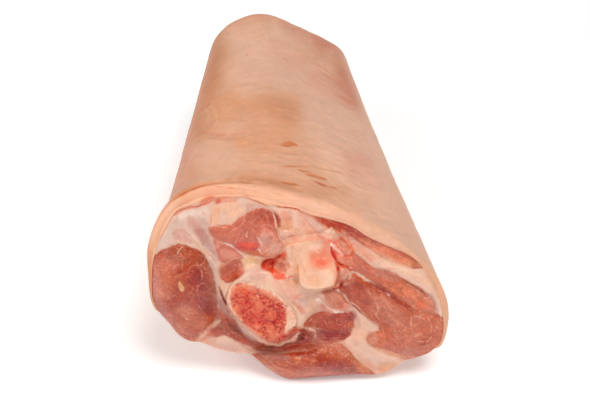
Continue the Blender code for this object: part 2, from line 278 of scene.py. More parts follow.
# ---------------------------------------------------------------- drawing
# Colours as they show under the studio's lights, out of 255
TINTS = {
    "white": (246, 222, 206), "cream": (238, 198, 172), "peach": (235, 182, 152), "pale": (229, 186, 164),
    "fat_pink": (227, 161, 139), "tan": (222, 154, 112), "tendon": (226, 182, 132),
    "silver": (217, 187, 173), "grey_film": (206, 160, 144), "violet": (184, 132, 122),
    "mauve": (160, 95, 81), "flesh": (172, 84, 62), "flesh_pale": (184, 94, 71),
    "flesh_dark": (146, 63, 50), "flesh_light": (201, 118, 95), "flesh_orange": (203, 113, 86),
    "rose": (201, 113, 96), "brick": (178, 82, 64),
    "salmon": (228, 138, 108), "coral": (232, 122, 98), "rust": (208, 96, 58), "scarlet": (238, 96, 66),
    "blood": (204, 44, 26), "deep": (128, 26, 14), "black_red": (66, 12, 6),
    "marrow": (212, 82, 60), "marrow_red": (186, 32, 26), "marrow_pale": (230, 138, 108),
    "rind": (230, 177, 147), "rind_pink": (228, 162, 138), "rind_tan": (208, 144, 106),
    "rind_pale": (232, 185, 160), "rind_brown": (194, 122, 80), "rind_plum": (186, 92, 80),
    "rind_orange": (226, 160, 120), "rind_red": (208, 124, 100), "rind_light": (246, 198, 170),
    "rind_rust": (200, 118, 60), "ochre": (204, 114, 62),
}
SHEEN = np.array([0.020, 0.044, 0.050])  # light that the surface mirrors, red, green and blue
LIGHT = 1.10  # how much a surface in the studio shows of its own colour
WET_GLOW = 0.007  # light that the wet film over the face adds to it
DARKEST, BRIGHTEST = 0.004, 0.95


def linear(tint):
    """The colour of a surface that shows as a tint once it is lit: without the sheen, at full light."""
    shown = np.array(TINTS[tint]) / 255.0
    shown = np.where(shown > 0.04045, ((shown + 0.055) / 1.055) ** 2.4, shown / 12.92)
    return np.clip((shown - SHEEN) / LIGHT, DARKEST, BRIGHTEST)


def lay(colour, tint, cover):
    """Colours with a tint laid over them, which hides the share of each that cover says."""
    return mix(colour, linear(tint), cover[:, None])


def edge_distance(points, shape):
    """Distance of points from a run of straight segments, and how far along it the nearest place is."""
    best = np.full(len(points), 1e9)
    along = np.zeros(len(points))
    steps = len(shape) - 1
    for k in range(steps):
        a, b = shape[k], shape[k + 1]
        ab = b - a
        t = np.clip(((points - a) @ ab) / max(ab @ ab, 1e-12), 0, 1)
        gap = points - a - t[:, None] * ab
        d = np.hypot(gap[:, 0], gap[:, 1])
        near = d < best
        best[near] = d[near]
        along[near] = (k + t[near]) / steps
    return best, along


def inside(points, shape):
    """Which points a closed outline holds."""
    held = np.zeros(len(points), bool)
    x, y = points.T
    for a, b in zip(shape, np.roll(shape, -1, 0)):
        crosses = (a[1] > y) != (b[1] > y)
        slope = (b[0] - a[0]) / (b[1] - a[1] if b[1] != a[1] else 1e-9)
        held ^= crosses & (x < a[0] + (y - a[1]) * slope)
    return held


def patch_weight(points, outline, soft):
    """1 inside a closed outline and 0 outside it, with an edge soft pixels wide."""
    weight = np.zeros(len(points))
    shape = spline(outline, max(16, 4 * len(outline)))
    low, high = shape.min(0) - soft, shape.max(0) + soft
    near = np.all((points > low) & (points < high), axis=1)
    if near.any():
        p = points[near]
        d, _ = edge_distance(p, closed_run(shape))
        weight[near] = smooth_step(np.where(inside(p, shape), d, -d), -soft, soft)
    return weight


def dome(points, outline, over):
    """Height of a round lump inside a closed outline, which is full over pixels from its edge."""
    rise = np.zeros(len(points))
    shape = spline(outline, max(16, 4 * len(outline)))
    near = np.all((points > shape.min(0)) & (points < shape.max(0)), axis=1)
    near[near] = inside(points[near], shape)
    if near.any():
        d, _ = edge_distance(points[near], closed_run(shape))
        rise[near] = np.sqrt(1 - (1 - np.clip(d / over, 0, 1)) ** 2)
    return rise


def line_weight(points, line, width):
    """1 on a smooth line and 0 beyond its width, which narrows to its ends."""
    weight = np.zeros(len(points))
    shape = spline(line, max(6, 4 * len(line)), closed=False) if len(line) > 2 else np.array(line, float)
    low, high = shape.min(0) - 2 * width, shape.max(0) + 2 * width
    near = np.all((points > low) & (points < high), axis=1)
    if near.any():
        d, along = edge_distance(points[near], shape)
        half = width * np.clip(1.02 - np.abs(2 * along - 1) ** 3, 0.15, 1)
        weight[near] = 1 - smooth_step(d, 0.1 * half, 1.35 * half)
    return weight


LUMP_EDGE = 0.7  # softness of a lump's outline, in pixels


def paint(points, layers, colour, height, breakup):
    """Lays patches, lines and lumps, in order, over the colour and the height of each point, in place."""
    for kind, tint, strength, size, lift, *outlines in layers:
        for places in outlines:
            shape = np.reshape(places, (-1, 2))
            fade = 1 + 0.5 * breakup
            if kind == "patch":
                weight = rise = patch_weight(points, shape, size)
            elif kind == "line":
                weight = rise = line_weight(points, shape, size)
                fade = np.clip(0.9 + breakup, 0.15, 1.2)
            else:
                rise = dome(points, shape, size)
                weight = patch_weight(points, shape, LUMP_EDGE) * (0.55 + 0.45 * rise)
            colour[:] = lay(colour, tint, np.clip(weight * strength * fade, 0, 1))
            height += rise * lift


# ---------------------------------------------------------------- the sawn face
# Outline of each piece, in the picture
OUTLINES = {
    "round_muscle": [
        (140, 290), (146, 262), (157, 254), (164, 249), (174, 245), (183, 244), (193, 247), (200, 250),
        (205, 257), (210, 266), (214, 277), (216, 290), (217, 302), (218, 310), (215, 318), (208, 326),
        (203, 333), (196, 341), (190, 352), (166, 348), (148, 320),
    ],
    "crown_muscle": [
        (208, 228), (220, 226), (232, 223), (240, 217), (250, 210.5), (260, 208), (268, 209), (275, 214),
        (279, 222), (278, 232), (280, 240), (284, 246), (281, 251), (274, 256), (264, 257), (254, 255),
        (244, 252), (236, 248), (229, 243), (220, 241), (212, 236),
    ],
    "small_muscle": [
        (219, 267), (228, 263), (238, 259), (243, 264), (244, 271), (240, 278), (232, 282), (224, 282),
        (219, 276), (217, 271),
    ],
    "strip_muscle": [
        (306, 211), (320, 208), (334, 212), (348, 216), (362, 224), (376, 232), (392, 240), (406, 244),
        (419, 252), (428, 266), (420, 269), (410, 268), (400, 264), (386, 260), (374, 252), (362, 245),
        (350, 238), (338, 231), (326, 227), (315, 221),
    ],
    "outer_muscle": [
        (352, 251), (358, 256), (366, 262), (376, 268), (386, 270), (394, 272), (401, 277), (410, 282),
        (420, 288), (430, 295), (435, 304), (434, 312), (426, 311), (416, 306), (404, 299.5), (392, 292.5),
        (380, 286), (370, 280), (362, 275), (354, 271), (350, 262),
    ],
    "main_muscle": [
        (345, 281), (349, 275), (354, 273.5), (361, 277), (369, 282.5), (379, 288.5), (391, 295),
        (403, 302), (415, 308.5), (425, 313.5), (436, 316), (450, 320), (456, 338), (442, 362), (420, 370),
        (408, 360), (398, 355), (385, 350), (374, 347), (367, 341), (370, 333), (380, 330), (370, 321),
        (360, 313), (352, 304), (345, 296), (339, 289),
    ],
    "lower_muscle": [
        (250, 354), (270, 353), (285, 353), (300, 352), (315, 349), (330, 345), (341, 344), (348, 350),
        (356, 358), (365, 366), (376, 376), (370, 390), (300, 392), (266, 386), (246, 364),
    ],
    "under_muscle": [
        (207, 333), (216, 326), (224, 319), (231, 322), (240, 331), (250, 340), (262, 346), (276, 347),
        (290, 344), (303, 337), (312, 333), (325, 334), (338, 334), (346, 333), (343, 339), (332, 341),
        (318, 344.5), (303, 348), (286, 350), (270, 350), (256, 348.5), (245, 345.5), (234, 340),
        (224, 336), (214, 337),
    ],
    "inner_muscle": [
        (303, 326), (309, 318), (316, 312), (322, 311), (333, 314), (345, 312), (352, 311.5), (354, 320),
        (352, 329), (342, 330), (330, 330), (316, 328),
    ],
    "shank_bone": [
        (226, 300), (228, 290), (232, 284), (240, 281), (252, 282.5), (265, 287), (278, 295), (288, 303),
        (296, 313), (297, 323), (291, 333), (283, 340), (276, 342.5), (268, 341.5), (258, 336.5),
        (248, 329), (239, 321), (231, 312),
    ],
    "knuckle_cap": [
        (299, 250), (306, 243), (318, 242), (328, 245), (333, 254), (336, 264), (338, 274), (336, 284),
        (330, 288), (318, 290), (307, 290), (300, 285), (298, 274), (298, 262),
    ],
}
POINTS_PER_PIXEL = 1.3  # of an outline's width and height together
LINES = {
    name: spline(shape, int(np.ptp(np.array(shape), 0).sum() * POINTS_PER_PIXEL))
    for name, shape in OUTLINES.items()
}


def owners(points):
    """Name of the piece that each point of the picture belongs to."""
    names = np.full(len(points), "seam_fat", dtype=object)
    for name, line in LINES.items():
        names[inside(points, line)] = name
    return names


BASE_TINTS = {
    "seam_fat": "pale", "round_muscle": "flesh", "crown_muscle": "rose", "small_muscle": "brick",
    "strip_muscle": "brick", "outer_muscle": "flesh_light", "main_muscle": "flesh_pale",
    "lower_muscle": "flesh", "under_muscle": "brick", "inner_muscle": "brick",
    "shank_bone": "marrow", "knuckle_cap": "peach",
}
# Grain of each muscle: its slope in the picture in degrees, stretch along it, and size of its web of fat
GRAIN = {
    "round_muscle": (35, 1.2, 9), "crown_muscle": (-55, 1.8, 9), "small_muscle": (-40, 2.0, 8),
    "strip_muscle": (28, 3.0, 7), "outer_muscle": (35, 2.2, 7), "main_muscle": (42, 1.8, 8),
    "lower_muscle": (15, 1.6, 9), "under_muscle": (10, 2.5, 7), "inner_muscle": (40, 1.8, 8),
}
DOMES = {  # how far each piece swells, and over how many pixels from its edge
    "round_muscle": (1.6, 9), "crown_muscle": (1.2, 6), "small_muscle": (0.5, 5),
    "strip_muscle": (0.4, 3), "outer_muscle": (0.7, 4), "main_muscle": (1.2, 6),
    "lower_muscle": (1.0, 6), "under_muscle": (0.4, 4), "inner_muscle": (0.8, 5),
}
# Broad swellings and hollows, in millimetres on the face: (u, w, half width, half height, forward by)
FACE_RELIEF = [
    (-48, -4, 15, 19, 7.5), (-35, -16, 4, 12, -5.0), (-17, 27, 12, 8, 3.5), (-28, 7, 5, 5, -2.0),
    (-10, 9, 6, 4, -4.0), (10, 27, 12, 7, 3.0), (19, 13, 4, 7, 3.0), (30, 24, 16, 6, -1.5),
    (43, -12, 17, 15, 6.5), (45, -32, 12, 8, 4.0), (5, -45, 20, 9, 6.5), (-12, -35, 14, 3, -2.5),
    (12, -20, 9, 5, -1.5),
]
# Outlines that more than one patch has
LOW_FLAP = [205, 342, 225, 338, 245, 350, 226, 352]
LOW_FAT = [350, 342, 364, 342, 384, 358, 398, 362, 384, 367, 362, 361]
LEFT_EDGE = [
    151, 232, 159, 214, 168, 205, 174, 202, 168, 214, 157, 229, 149, 248, 146, 270, 147, 286, 143, 286,
    142, 262,
]
# Patches, lines and lumps drawn on the face, in order: kind, tint, strength, softness in pixels (or the
# width of a line, or how far in a lump is full), lift in millimetres, and one or more outlines or runs
FACE_PAINT = [
    # the torn red seam under the fat layer
    ("patch", "salmon", 0.8, 1.4, -0.1, [199, 206, 200, 201.5, 204, 198, 208, 196, 213, 195.5, 216, 198.5,
     213, 201, 209, 203.5, 205, 206]),
    ("patch", "coral", 0.5, 1.2, 0, [203, 202, 207, 199.5, 212, 199, 211, 202, 206, 204]),
    ("patch", "rust", 0.55, 1.2, -0.2, [175, 215.5, 177, 211, 182, 208.5, 190, 207, 198, 205.5, 205, 204.5,
     200, 208, 192, 209.5, 184, 211.5, 179, 215]),
    ("line", "rust", 0.7, 1.2, -0.25, [175, 215, 178, 211, 184, 208.8, 191, 207.5, 199, 206, 207, 203.5,
     214, 200]),
    ("line", "salmon", 0.8, 1.6, -0.1, [177, 213, 181, 210.5, 187, 209, 193, 208, 200, 206.5]),
    ("patch", "rust", 0.9, 1.3, -0.25, [215, 202, 215.5, 199, 218, 197.5, 221, 199, 220.5, 202.5, 217.5,
     203.5]),
    ("patch", "salmon", 0.5, 1.5, -0.1, [219, 197, 227, 196, 236, 196.5, 243, 196.5, 236, 201, 229, 202,
     220, 202]),
    ("line", "coral", 0.6, 0.9, -0.15, [220, 203.5, 226, 201.5, 233, 202, 238, 200.5]),
    ("line", "salmon", 0.6, 0.7, -0.1, [219, 198.5, 226, 197.5, 232, 198.5]),
    ("line", "rust", 0.6, 1, -0.2, [240, 196, 246, 196.5, 250, 199, 256, 201, 262, 203.5, 267, 206, 272,
     207]),
    ("line", "rust", 0.8, 1.2, -0.3, [273.5, 205, 281, 207, 290, 208, 297, 209.5, 303, 213, 308, 215.5, 315,
     216]),
    ("line", "rust", 0.5, 0.9, -0.15, [283, 208.5, 292, 209, 300, 211.5]),
    ("line", "tan", 0.6, 0.9, -0.1, [176, 213, 170, 222, 163, 232, 158, 240, 155, 250]),
    ("line", "salmon", 0.4, 1, 0, [171, 223, 165, 231, 160, 238]),
    # fat under the seam
    ("patch", "peach", 0.55, 3.5, 0.2, [209, 208, 222, 204, 238, 203, 247, 204, 244, 211, 237, 216, 228,
     222, 216, 225, 209, 225, 208, 216]),
    ("patch", "tan", 0.2, 3, -0.1, [211, 210, 219, 207, 221, 214, 219, 224, 211, 225]),
    ("patch", "silver", 0.5, 1.5, 0.1, [220, 212, 225, 211, 227, 219, 224, 223, 220, 221], [238, 198, 246,
     197, 248, 203, 244, 208, 239, 204]),
    ("line", "tan", 0.4, 0.8, -0.08, [219, 205, 218.5, 212, 220, 217]),
    ("line", "cream", 0.5, 0.8, 0.04, [243, 205, 236, 213, 230, 219]),
    ("line", "peach", 0.4, 0.8, 0.04, [248, 199, 247, 206, 243, 213]),
    ("patch", "grey_film", 0.6, 1.5, 0.1, [250, 203, 258, 203.5, 266, 206.5, 270, 209, 262, 207.5, 254, 208,
     247, 210, 246, 206]),
    ("line", "rust", 0.5, 0.8, -0.12, [209, 227.5, 214, 225.5, 224, 225, 233, 226.5]),
    # film at the upper left
    ("patch", "silver", 0.9, 2.5, 0.3, [176, 216, 185, 211, 196, 208.5, 207, 206, 210, 213, 208, 224, 210,
     234, 214, 245, 219, 259, 218, 269, 212, 263, 206, 256, 198, 249, 189, 245, 180, 242.5, 171, 244, 160,
     250, 157, 247, 161, 239, 167, 229]),
    ("patch", "white", 0.5, 3, 0, [182, 213, 194, 210, 206, 208, 207, 213, 200, 216, 190, 217, 180, 219]),
    ("patch", "fat_pink", 0.5, 1.2, -0.1, [201, 211, 205, 212, 206, 215, 203, 216]),
    ("patch", "violet", 0.45, 3, 0, [188, 219, 198, 219, 207, 221, 209, 230, 213, 240, 217, 252, 217, 262,
     211, 254, 204, 246, 197, 237, 190, 229]),
    ("patch", "mauve", 0.35, 2, -0.1, [196, 229, 204, 230, 209, 238, 206, 244, 199, 238]),
    ("patch", "silver", 0.7, 2, 0.1, [167, 230, 172, 227, 174, 235, 172, 242, 166, 243]),
    ("patch", "rose", 0.4, 1.8, -0.2, [173, 231, 180, 229, 186, 231, 191, 238, 195, 243, 188, 243, 180, 241,
     174, 240]),
    ("line", "silver", 0.6, 0.7, 0.12, [173, 230, 178, 232.5, 182, 236.5, 185, 240]),
    ("line", "mauve", 0.7, 0.9, -0.12, [202, 243, 204.5, 245.5]),
    ("line", "silver", 0.6, 0.8, 0.08, [204, 249, 211, 254, 218, 259]),
    ("line", "mauve", 0.4, 0.7, -0.12, [205, 252, 212, 257.5, 217, 264]),
    ("line", "mauve", 0.6, 0.8, -0.2, [210, 260, 214, 266, 217.5, 270]),
    ("line", "pale", 0.85, 1.6, 0.12, [159, 250, 165, 245.5, 172, 242.5, 180, 242, 186, 243.5, 192, 246.5,
     198, 248.5, 204, 252.5, 209, 258, 213, 264, 217, 270]),
    ("line", "mauve", 0.5, 0.7, -0.12, [208, 226, 211, 234, 215, 243, 218, 252, 219.5, 261]),
    ("patch", "rose", 0.3, 2, -0.1, [187, 217, 193, 217, 199, 228, 205, 238, 200, 237, 193, 228]),
    ("patch", "tan", 0.3, 2, -0.1, [192, 239, 197, 243, 202, 249, 209, 254, 214, 257, 208, 256, 199, 249]),
    ("line", "pale", 0.8, 0.9, 0.25, [175, 222.5, 180, 225.5, 185, 228, 190, 231.5, 195, 237, 199.5, 242.5,
     204, 248, 209, 253]),
    ("line", "cream", 0.5, 0.7, 0.15, [185, 230, 189.5, 234, 194, 239, 199, 245, 204, 250]),
    ("line", "mauve", 0.4, 0.8, -0.15, [187, 232, 192, 237.5, 197, 243, 202, 248.5]),
    ("line", "tan", 0.45, 0.7, -0.1, [191, 240, 196, 244, 201, 248, 207, 253, 214, 257.5]),
    ("line", "silver", 0.6, 0.7, 0.1, [176, 229, 183, 233, 190, 238, 196, 243, 203, 250]),
    ("line", "mauve", 0.35, 0.8, -0.1, [210, 214, 211, 222, 209, 226]),
    ("patch", "violet", 0.35, 3, 0, [199, 226, 206, 232, 212, 244, 217, 256, 212, 254, 205, 246, 199, 236]),
    # crown muscle
    ("patch", "flesh_dark", 0.4, 3, 0, [254, 210, 264, 208.5, 271, 213, 275, 221, 268, 222, 258, 219]),
    ("patch", "flesh_light", 0.5, 3, 0, [209, 229, 222, 228, 236, 231, 234, 240, 224, 242, 214, 238]),
    ("patch", "brick", 0.5, 2, 0, [274, 211, 279, 216, 281.5, 223, 280, 228, 277.5, 221]),
    ("patch", "fat_pink", 0.55, 3.5, 0.3, [262, 230, 270, 231, 278, 236, 285, 244, 284, 251, 277, 255.5,
     270, 258, 263, 256, 258, 250, 259, 240]),
    ("patch", "pale", 0.5, 2.5, 0.2, [271, 243, 279, 242, 285, 246, 282, 251, 275, 254.5, 268, 256, 268,
     250]),
    ("patch", "silver", 0.3, 3, 0.1, [262, 235, 268, 235, 269, 242, 264, 245, 260, 241]),
    ("line", "white", 0.8, 1, 0.2, [223, 241.5, 228, 243.5, 232, 245.5, 236, 249.5, 240, 252.5, 243, 255,
     247, 257]),
    ("line", "white", 0.8, 0.8, 0.16, [257, 248.5, 260, 251.5, 263, 254.5]),
    ("line", "fat_pink", 0.6, 0.6, 0.04, [245, 213, 244, 219, 247.5, 224.5]),
    ("line", "fat_pink", 0.5, 0.5, 0.04, [252, 218, 252, 226]),
    ("line", "fat_pink", 0.5, 0.6, 0.04, [239, 229, 242, 224, 246, 220.5]),
    ("line", "fat_pink", 0.5, 0.5, 0.04, [232, 231, 236, 229, 238.5, 232.5]),
    ("line", "fat_pink", 0.5, 0.6, 0.04, [213, 228, 222, 227, 229, 228, 237, 231]),
    ("line", "fat_pink", 0.6, 0.6, 0.04, [256, 236, 259, 241, 261, 246]),
    ("line", "fat_pink", 0.5, 0.5, 0.04, [262, 227, 265, 224, 270, 225], [265, 212, 268, 219, 270, 227],
     [255, 215, 261, 219, 266, 226, 268, 231], [271, 224, 275, 229, 280, 236]),
    ("line", "fat_pink", 0.4, 0.5, 0.04, [249, 239, 252, 234, 257, 231], [217, 233, 224, 235, 230, 233],
     [262, 232, 265, 236, 263, 240]),
    ("line", "rust", 0.5, 0.8, -0.12, [278, 233, 281, 237, 286, 241]),
    ("patch", "mauve", 0.22, 4, 0, [244, 214, 252, 212, 256, 220, 256, 230, 248, 234, 240, 230, 238, 222]),
    ("patch", "flesh_orange", 0.25, 4, 0, [212, 231, 222, 230, 232, 233, 236, 240, 226, 240, 216, 238]),
    ("patch", "brick", 0.7, 1.2, -0.2, [272, 212.5, 276, 214, 280, 218.5, 281.5, 224, 279.5, 228, 277, 222,
     275, 217]),
    ("patch", "fat_pink", 0.8, 1.2, 0.3, [264, 256.5, 269, 254, 276, 251.5, 282, 246, 286, 243, 287, 246,
     284, 251.5, 279, 254, 275, 258.5, 270, 259.5]),
    ("patch", "pale", 0.5, 1, 0.3, [270, 257, 276, 253.5, 281, 250.5, 285, 246, 284, 251, 279, 254, 275,
     258]),
    ("patch", "blood", 0.62, 1.6, -0.3, [233, 247.5, 235, 244.5, 239, 242.3, 246, 241.8, 254, 242, 258, 244,
     258, 248, 255, 250.5, 249, 251, 241, 251.5, 236, 250]),
    ("patch", "scarlet", 0.7, 1.6, -0.1, [241, 244, 248, 242.5, 255, 243.5, 256, 247, 250, 247.5, 243,
     247.5]),
    ("line", "blood", 0.4, 0.8, -0.15, [237, 247.5, 243, 247, 250, 248, 256, 248.5]),
    ("patch", "salmon", 0.35, 1.5, -0.1, [244, 251, 252, 250.5, 260, 252, 264, 255, 256, 255.5, 248, 255]),
    ("patch", "flesh_orange", 0.5, 1.5, -0.1, [240, 251.5, 250, 251.5, 260, 252.5, 262, 255.5, 252, 255.5,
     244, 254.5]),
    ("line", "pale", 0.85, 1, 0.2, [266, 208, 270.5, 210.5, 274, 216, 276, 222, 277, 229, 278.5, 234, 282,
     238.5, 286, 242.5]),
    ("line", "white", 0.35, 0.6, 0.1, [268, 209.5, 272.5, 213, 275.5, 221]),
    ("line", "tan", 0.5, 0.7, -0.1, [267, 207, 272, 209.5, 276, 213]),
    ("line", "white", 0.75, 0.9, 0.15, [247.5, 230.5, 246.5, 234, 247.5, 237.5]),
    ("line", "fat_pink", 0.45, 0.6, 0.05, [243.5, 211, 244.5, 217, 243, 222, 239, 227]),
    ("line", "fat_pink", 0.4, 0.6, 0.05, [247, 217, 250, 222, 256, 225.5, 262, 226.5]),
    ("line", "fat_pink", 0.5, 0.7, 0.05, [259, 229, 263, 225, 269, 224.5, 275, 228]),
    ("line", "white", 0.6, 0.8, 0.15, [257, 237, 260, 240.5, 261, 246]),
    ("line", "fat_pink", 0.4, 0.6, 0.05, [255, 212, 262, 213, 267, 217, 268, 222], [251, 226, 253, 231, 251,
     236]),
    ("line", "brick", 0.4, 0.7, -0.1, [231, 238, 236, 239.5, 240, 242]),
    # membrane, small muscle and the tan strip beside it
    ("patch", "rose", 0.9, 1.8, 0, [213, 239, 222, 242.5, 231, 246, 238, 252, 244, 257.5, 239, 260, 229,
     262.5, 220, 263, 217, 254]),
    ("patch", "fat_pink", 0.45, 2, 0.1, [222, 249, 230, 251, 238, 256, 230, 258.5, 222, 257]),
    ("line", "fat_pink", 0.5, 0.7, 0.04, [226, 249, 234, 253, 241, 257]),
    ("patch", "flesh_dark", 0.22, 3, -0.1, [229, 263, 237, 259.5, 241, 265, 238, 275, 231, 280, 228, 272]),
    ("patch", "flesh_light", 0.6, 3, 0, [219, 266, 226, 265, 229, 272, 226, 280, 220, 276]),
    ("line", "pale", 0.7, 0.8, 0.08, [219, 262, 223, 263.5, 227, 263, 232, 260, 237, 258, 242, 257]),
    ("line", "white", 0.6, 0.6, 0.08, [222, 262.5, 226, 264.5]),
    ("patch", "peach", 0.7, 1.6, 0.3, [216, 265, 221, 262, 221.5, 270, 221, 280, 223, 287, 219, 284, 215.5,
     275]),
    ("patch", "rose", 0.5, 2.5, 0, [224, 264, 234, 260, 242, 264, 243, 270, 238, 276, 230, 270]),
    ("patch", "flesh_orange", 0.35, 2.5, 0, [221, 270, 227, 268, 230, 276, 226, 281, 221, 277]),
    ("line", "fat_pink", 0.4, 0.6, 0.05, [226, 268, 231, 272, 235, 278]),
    ("line", "fat_pink", 0.35, 0.6, 0.05, [232, 262, 236, 266, 240, 271]),
    # yellow tendon, bluish film and the fat round the bone
    ("patch", "cream", 0.8, 3, 0.2, [243, 262, 256, 258, 264, 264, 270, 274, 281, 281, 294, 283, 302, 292,
     300, 298, 288, 296, 276, 289, 262, 284, 250, 281, 240, 280, 244, 272]),
    ("patch", "silver", 0.8, 2, 0.1, [245, 266, 253, 264, 260, 267, 266, 276, 258, 281, 248, 279, 243, 281,
     246, 273]),
    ("patch", "tendon", 0.75, 1.2, 0.3, [242.5, 265, 243, 260, 246, 257, 250, 255.5, 254, 257, 257, 261,
     255, 267, 249, 268, 245, 268]),
    ("patch", "cream", 0.5, 1.5, 0.1, [246, 263, 250, 260, 254, 262, 253, 267, 248, 267]),
    ("line", "grey_film", 0.6, 0.7, -0.08, [255, 258, 259, 264, 265, 272]),
    ("patch", "fat_pink", 0.5, 3, 0, [270, 281, 281, 282, 291, 290, 301, 296, 303, 301, 293, 300, 281,
     294]),
    ("patch", "rose", 0.25, 3, 0, [282, 279, 294, 280, 302, 291, 296, 293, 287, 288]),
    ("patch", "coral", 0.3, 2, 0, [290, 294, 297, 297, 303, 299, 297, 300]),
    ("patch", "fat_pink", 0.6, 2, 0, [291, 301, 300, 305, 307, 312, 302, 314, 295, 309]),
    ("patch", "silver", 0.5, 2, 0, [297, 299, 306, 300, 309, 306, 302, 307]),
    ("patch", "cream", 0.6, 1.5, 0.2, [297, 312, 302, 314, 306, 316, 304, 323, 299, 326, 298, 320]),
    ("patch", "grey_film", 0.6, 2, 0, [309, 289, 317, 290, 319, 297, 313, 301, 307, 300, 304, 294]),
    ("patch", "peach", 0.6, 2, 0, [309, 301, 316, 302, 318, 307, 312, 312, 308, 310]),
    ("line", "tan", 0.4, 0.9, -0.1, [243.5, 263, 246, 258.5, 250, 256.5, 254.5, 258, 257.5, 262]),
    ("patch", "silver", 0.5, 2.5, 0, [246, 267, 254, 266, 258, 270, 256, 277, 248, 277, 244, 272]),
    ("patch", "coral", 0.22, 3, 0, [250, 274, 262, 272, 268, 278, 262, 284, 252, 281]),
    ("line", "coral", 0.45, 1, -0.05, [293, 296, 298, 295, 304, 293.5]),
    ("line", "coral", 0.35, 1, -0.05, [287, 297.5, 294, 298, 300, 297]),
    ("patch", "rose", 0.3, 2.5, 0, [290, 302, 298, 304, 304, 310, 300, 313, 294, 309]),
    ("line", "tan", 0.4, 0.8, -0.1, [291, 301, 297, 304.5, 303, 310]),
    ("patch", "violet", 0.2, 3, 0, [300, 296, 310, 299, 312, 306, 304, 305]),
    # red pocket and the fat hanging over it
    ("patch", "peach", 0.8, 2, 0.3, [276, 262, 284, 253, 286, 246, 292, 242, 300, 244, 299, 256, 299, 274,
     291, 275.5, 283, 275, 280, 269]),
    ("patch", "pale", 0.5, 1.5, 0.2, [286, 248, 291, 246, 292, 256, 291, 268, 287, 258]),
    ("patch", "scarlet", 0.9, 1.4, -0.7, [261, 267.5, 262.5, 262, 268, 259.8, 273, 259, 277, 256, 282, 253,
     285, 252.5, 286, 256, 283, 260, 279, 262, 275, 266, 272, 270, 267, 270.5]),
    ("patch", "blood", 0.7, 1.3, -0.6, [262, 266, 264, 261.5, 270, 259.8, 276, 257.5, 280, 255, 279, 259.5,
     275, 263.5, 272, 269, 267, 268.5]),
    ("lump", "coral", 0.7, 2, 0.42, [265.5, 264.5, 268, 263, 271, 264, 272.5, 267, 270, 269, 267, 268]),
    ("line", "deep", 0.5, 1, -0.4, [264, 261.5, 269, 259.8, 274, 258.5]),
    ("patch", "scarlet", 0.85, 1.4, -0.4, [269.5, 270, 275, 268.5, 281, 272, 285.5, 276, 282.5, 279.5, 277,
     279.8, 272.5, 276]),
    ("lump", "coral", 0.6, 2, 0.42, [272, 270.5, 276, 269, 280.5, 272, 283, 276, 280, 278.5, 275.5, 277]),
    ("lump", "fat_pink", 0.85, 4, 0.91, [273.5, 268, 275, 263, 279, 259, 283.5, 257.5, 285.5, 262, 287.5,
     267.5, 287.5, 272, 283.5, 274, 278, 271.5]),
    ("lump", "pale", 0.6, 2.2, 0.49, [284, 261, 286.5, 263.5, 288.5, 268, 288.5, 272.5, 286, 270, 284.5,
     265]),
    ("patch", "pale", 0.5, 1.6, 0.2, [276, 264, 281, 260.5, 285, 263, 285.5, 269, 281, 271, 277, 268]),
    ("line", "coral", 0.5, 0.8, -0.1, [278, 266, 281, 268, 284, 272]),
    ("line", "rust", 0.8, 1.1, -0.4, [284.8, 256.5, 285.6, 260.5]),
    ("line", "scarlet", 0.8, 1, -0.15, [279, 278.5, 285, 277.5, 291, 276.5, 298.5, 276.2]),
    ("line", "tan", 0.7, 0.8, -0.2, [285.5, 260, 288.3, 264, 289.7, 270]),
    ("line", "white", 0.5, 0.6, 0.1, [284.5, 260.5, 287, 265, 288, 270]),
    ("line", "tan", 0.6, 0.8, -0.2, [293, 243, 291.8, 249, 292.5, 257]),
    ("line", "tan", 0.5, 0.7, -0.15, [286.5, 246, 285.5, 252, 284.5, 257]),
    ("line", "tan", 0.35, 0.8, -0.1, [296, 248, 295.5, 258, 295.5, 266]),
    # painted shadow: tan in the angle between the hanging fat and the cap's left edge, over a dip in the
    # relief
    ("patch", "tan", 0.55, 1.2, -0.3, [296, 265, 299, 264, 299.3, 271, 297.5, 275.5, 294.5, 273]),
    ("line", "rust", 0.3, 0.9, -0.2, [297.8, 264, 298.4, 269, 298.6, 274]),
    # painted shadow: tan below the hanging fat, where it steps down beside the cap
    ("patch", "tan", 0.35, 2.5, -0.2, [284, 279, 292, 278, 299, 279, 301, 287, 292, 287, 285, 283]),
    ("line", "white", 0.5, 0.6, 0.1, [274, 262, 277, 259.5]),
    ("line", "white", 0.6, 0.5, 0.1, [270, 264.5, 272.5, 266.5]),
    # lobules between the crown muscle and the cap
    ("patch", "fat_pink", 0.35, 2.5, 0.4, [280, 212, 290, 209.5, 299, 212, 303, 222, 306.5, 234, 305, 240,
     296, 241.5, 290, 243, 283, 240, 279, 233, 281, 224]),
    ("patch", "tan", 0.5, 2, -0.5, [282, 222, 291, 219, 293, 226, 289, 231, 281, 230]),
    ("patch", "pale", 0.6, 2, 0.4, [282, 232, 291, 231, 301, 232, 304, 238, 294, 240, 286, 240]),
    # painted highlight: a faint white patch where the wet lobule glints
    ("patch", "white", 0.25, 2, 0.3, [293, 211, 298, 213, 298, 224, 294, 228, 292.5, 219]),
    ("line", "white", 0.5, 0.6, 0.08, [282, 218, 284.5, 222, 282, 225]),
    ("line", "tan", 0.75, 0.7, -0.2, [281, 212, 283.5, 219, 281.5, 226, 279, 231, 281, 237, 286, 241.5, 291,
     243.5, 296, 241.5, 303, 241.5, 307, 238, 306, 232, 302, 223, 299.5, 214]),
    ("patch", "salmon", 0.5, 1, -0.2, [289, 237, 293, 236, 296, 238, 293, 240.5]),
    ("patch", "tan", 0.3, 2, -0.2, [281, 228, 289, 227, 297, 229, 302, 233, 296, 233, 286, 232]),
    ("patch", "salmon", 0.35, 2.5, -0.1, [279, 214, 286, 212, 292, 216, 291, 223, 284, 224]),
    ("patch", "fat_pink", 0.5, 2, 0.1, [289, 234, 296, 234, 302, 237, 300, 240, 292, 240]),
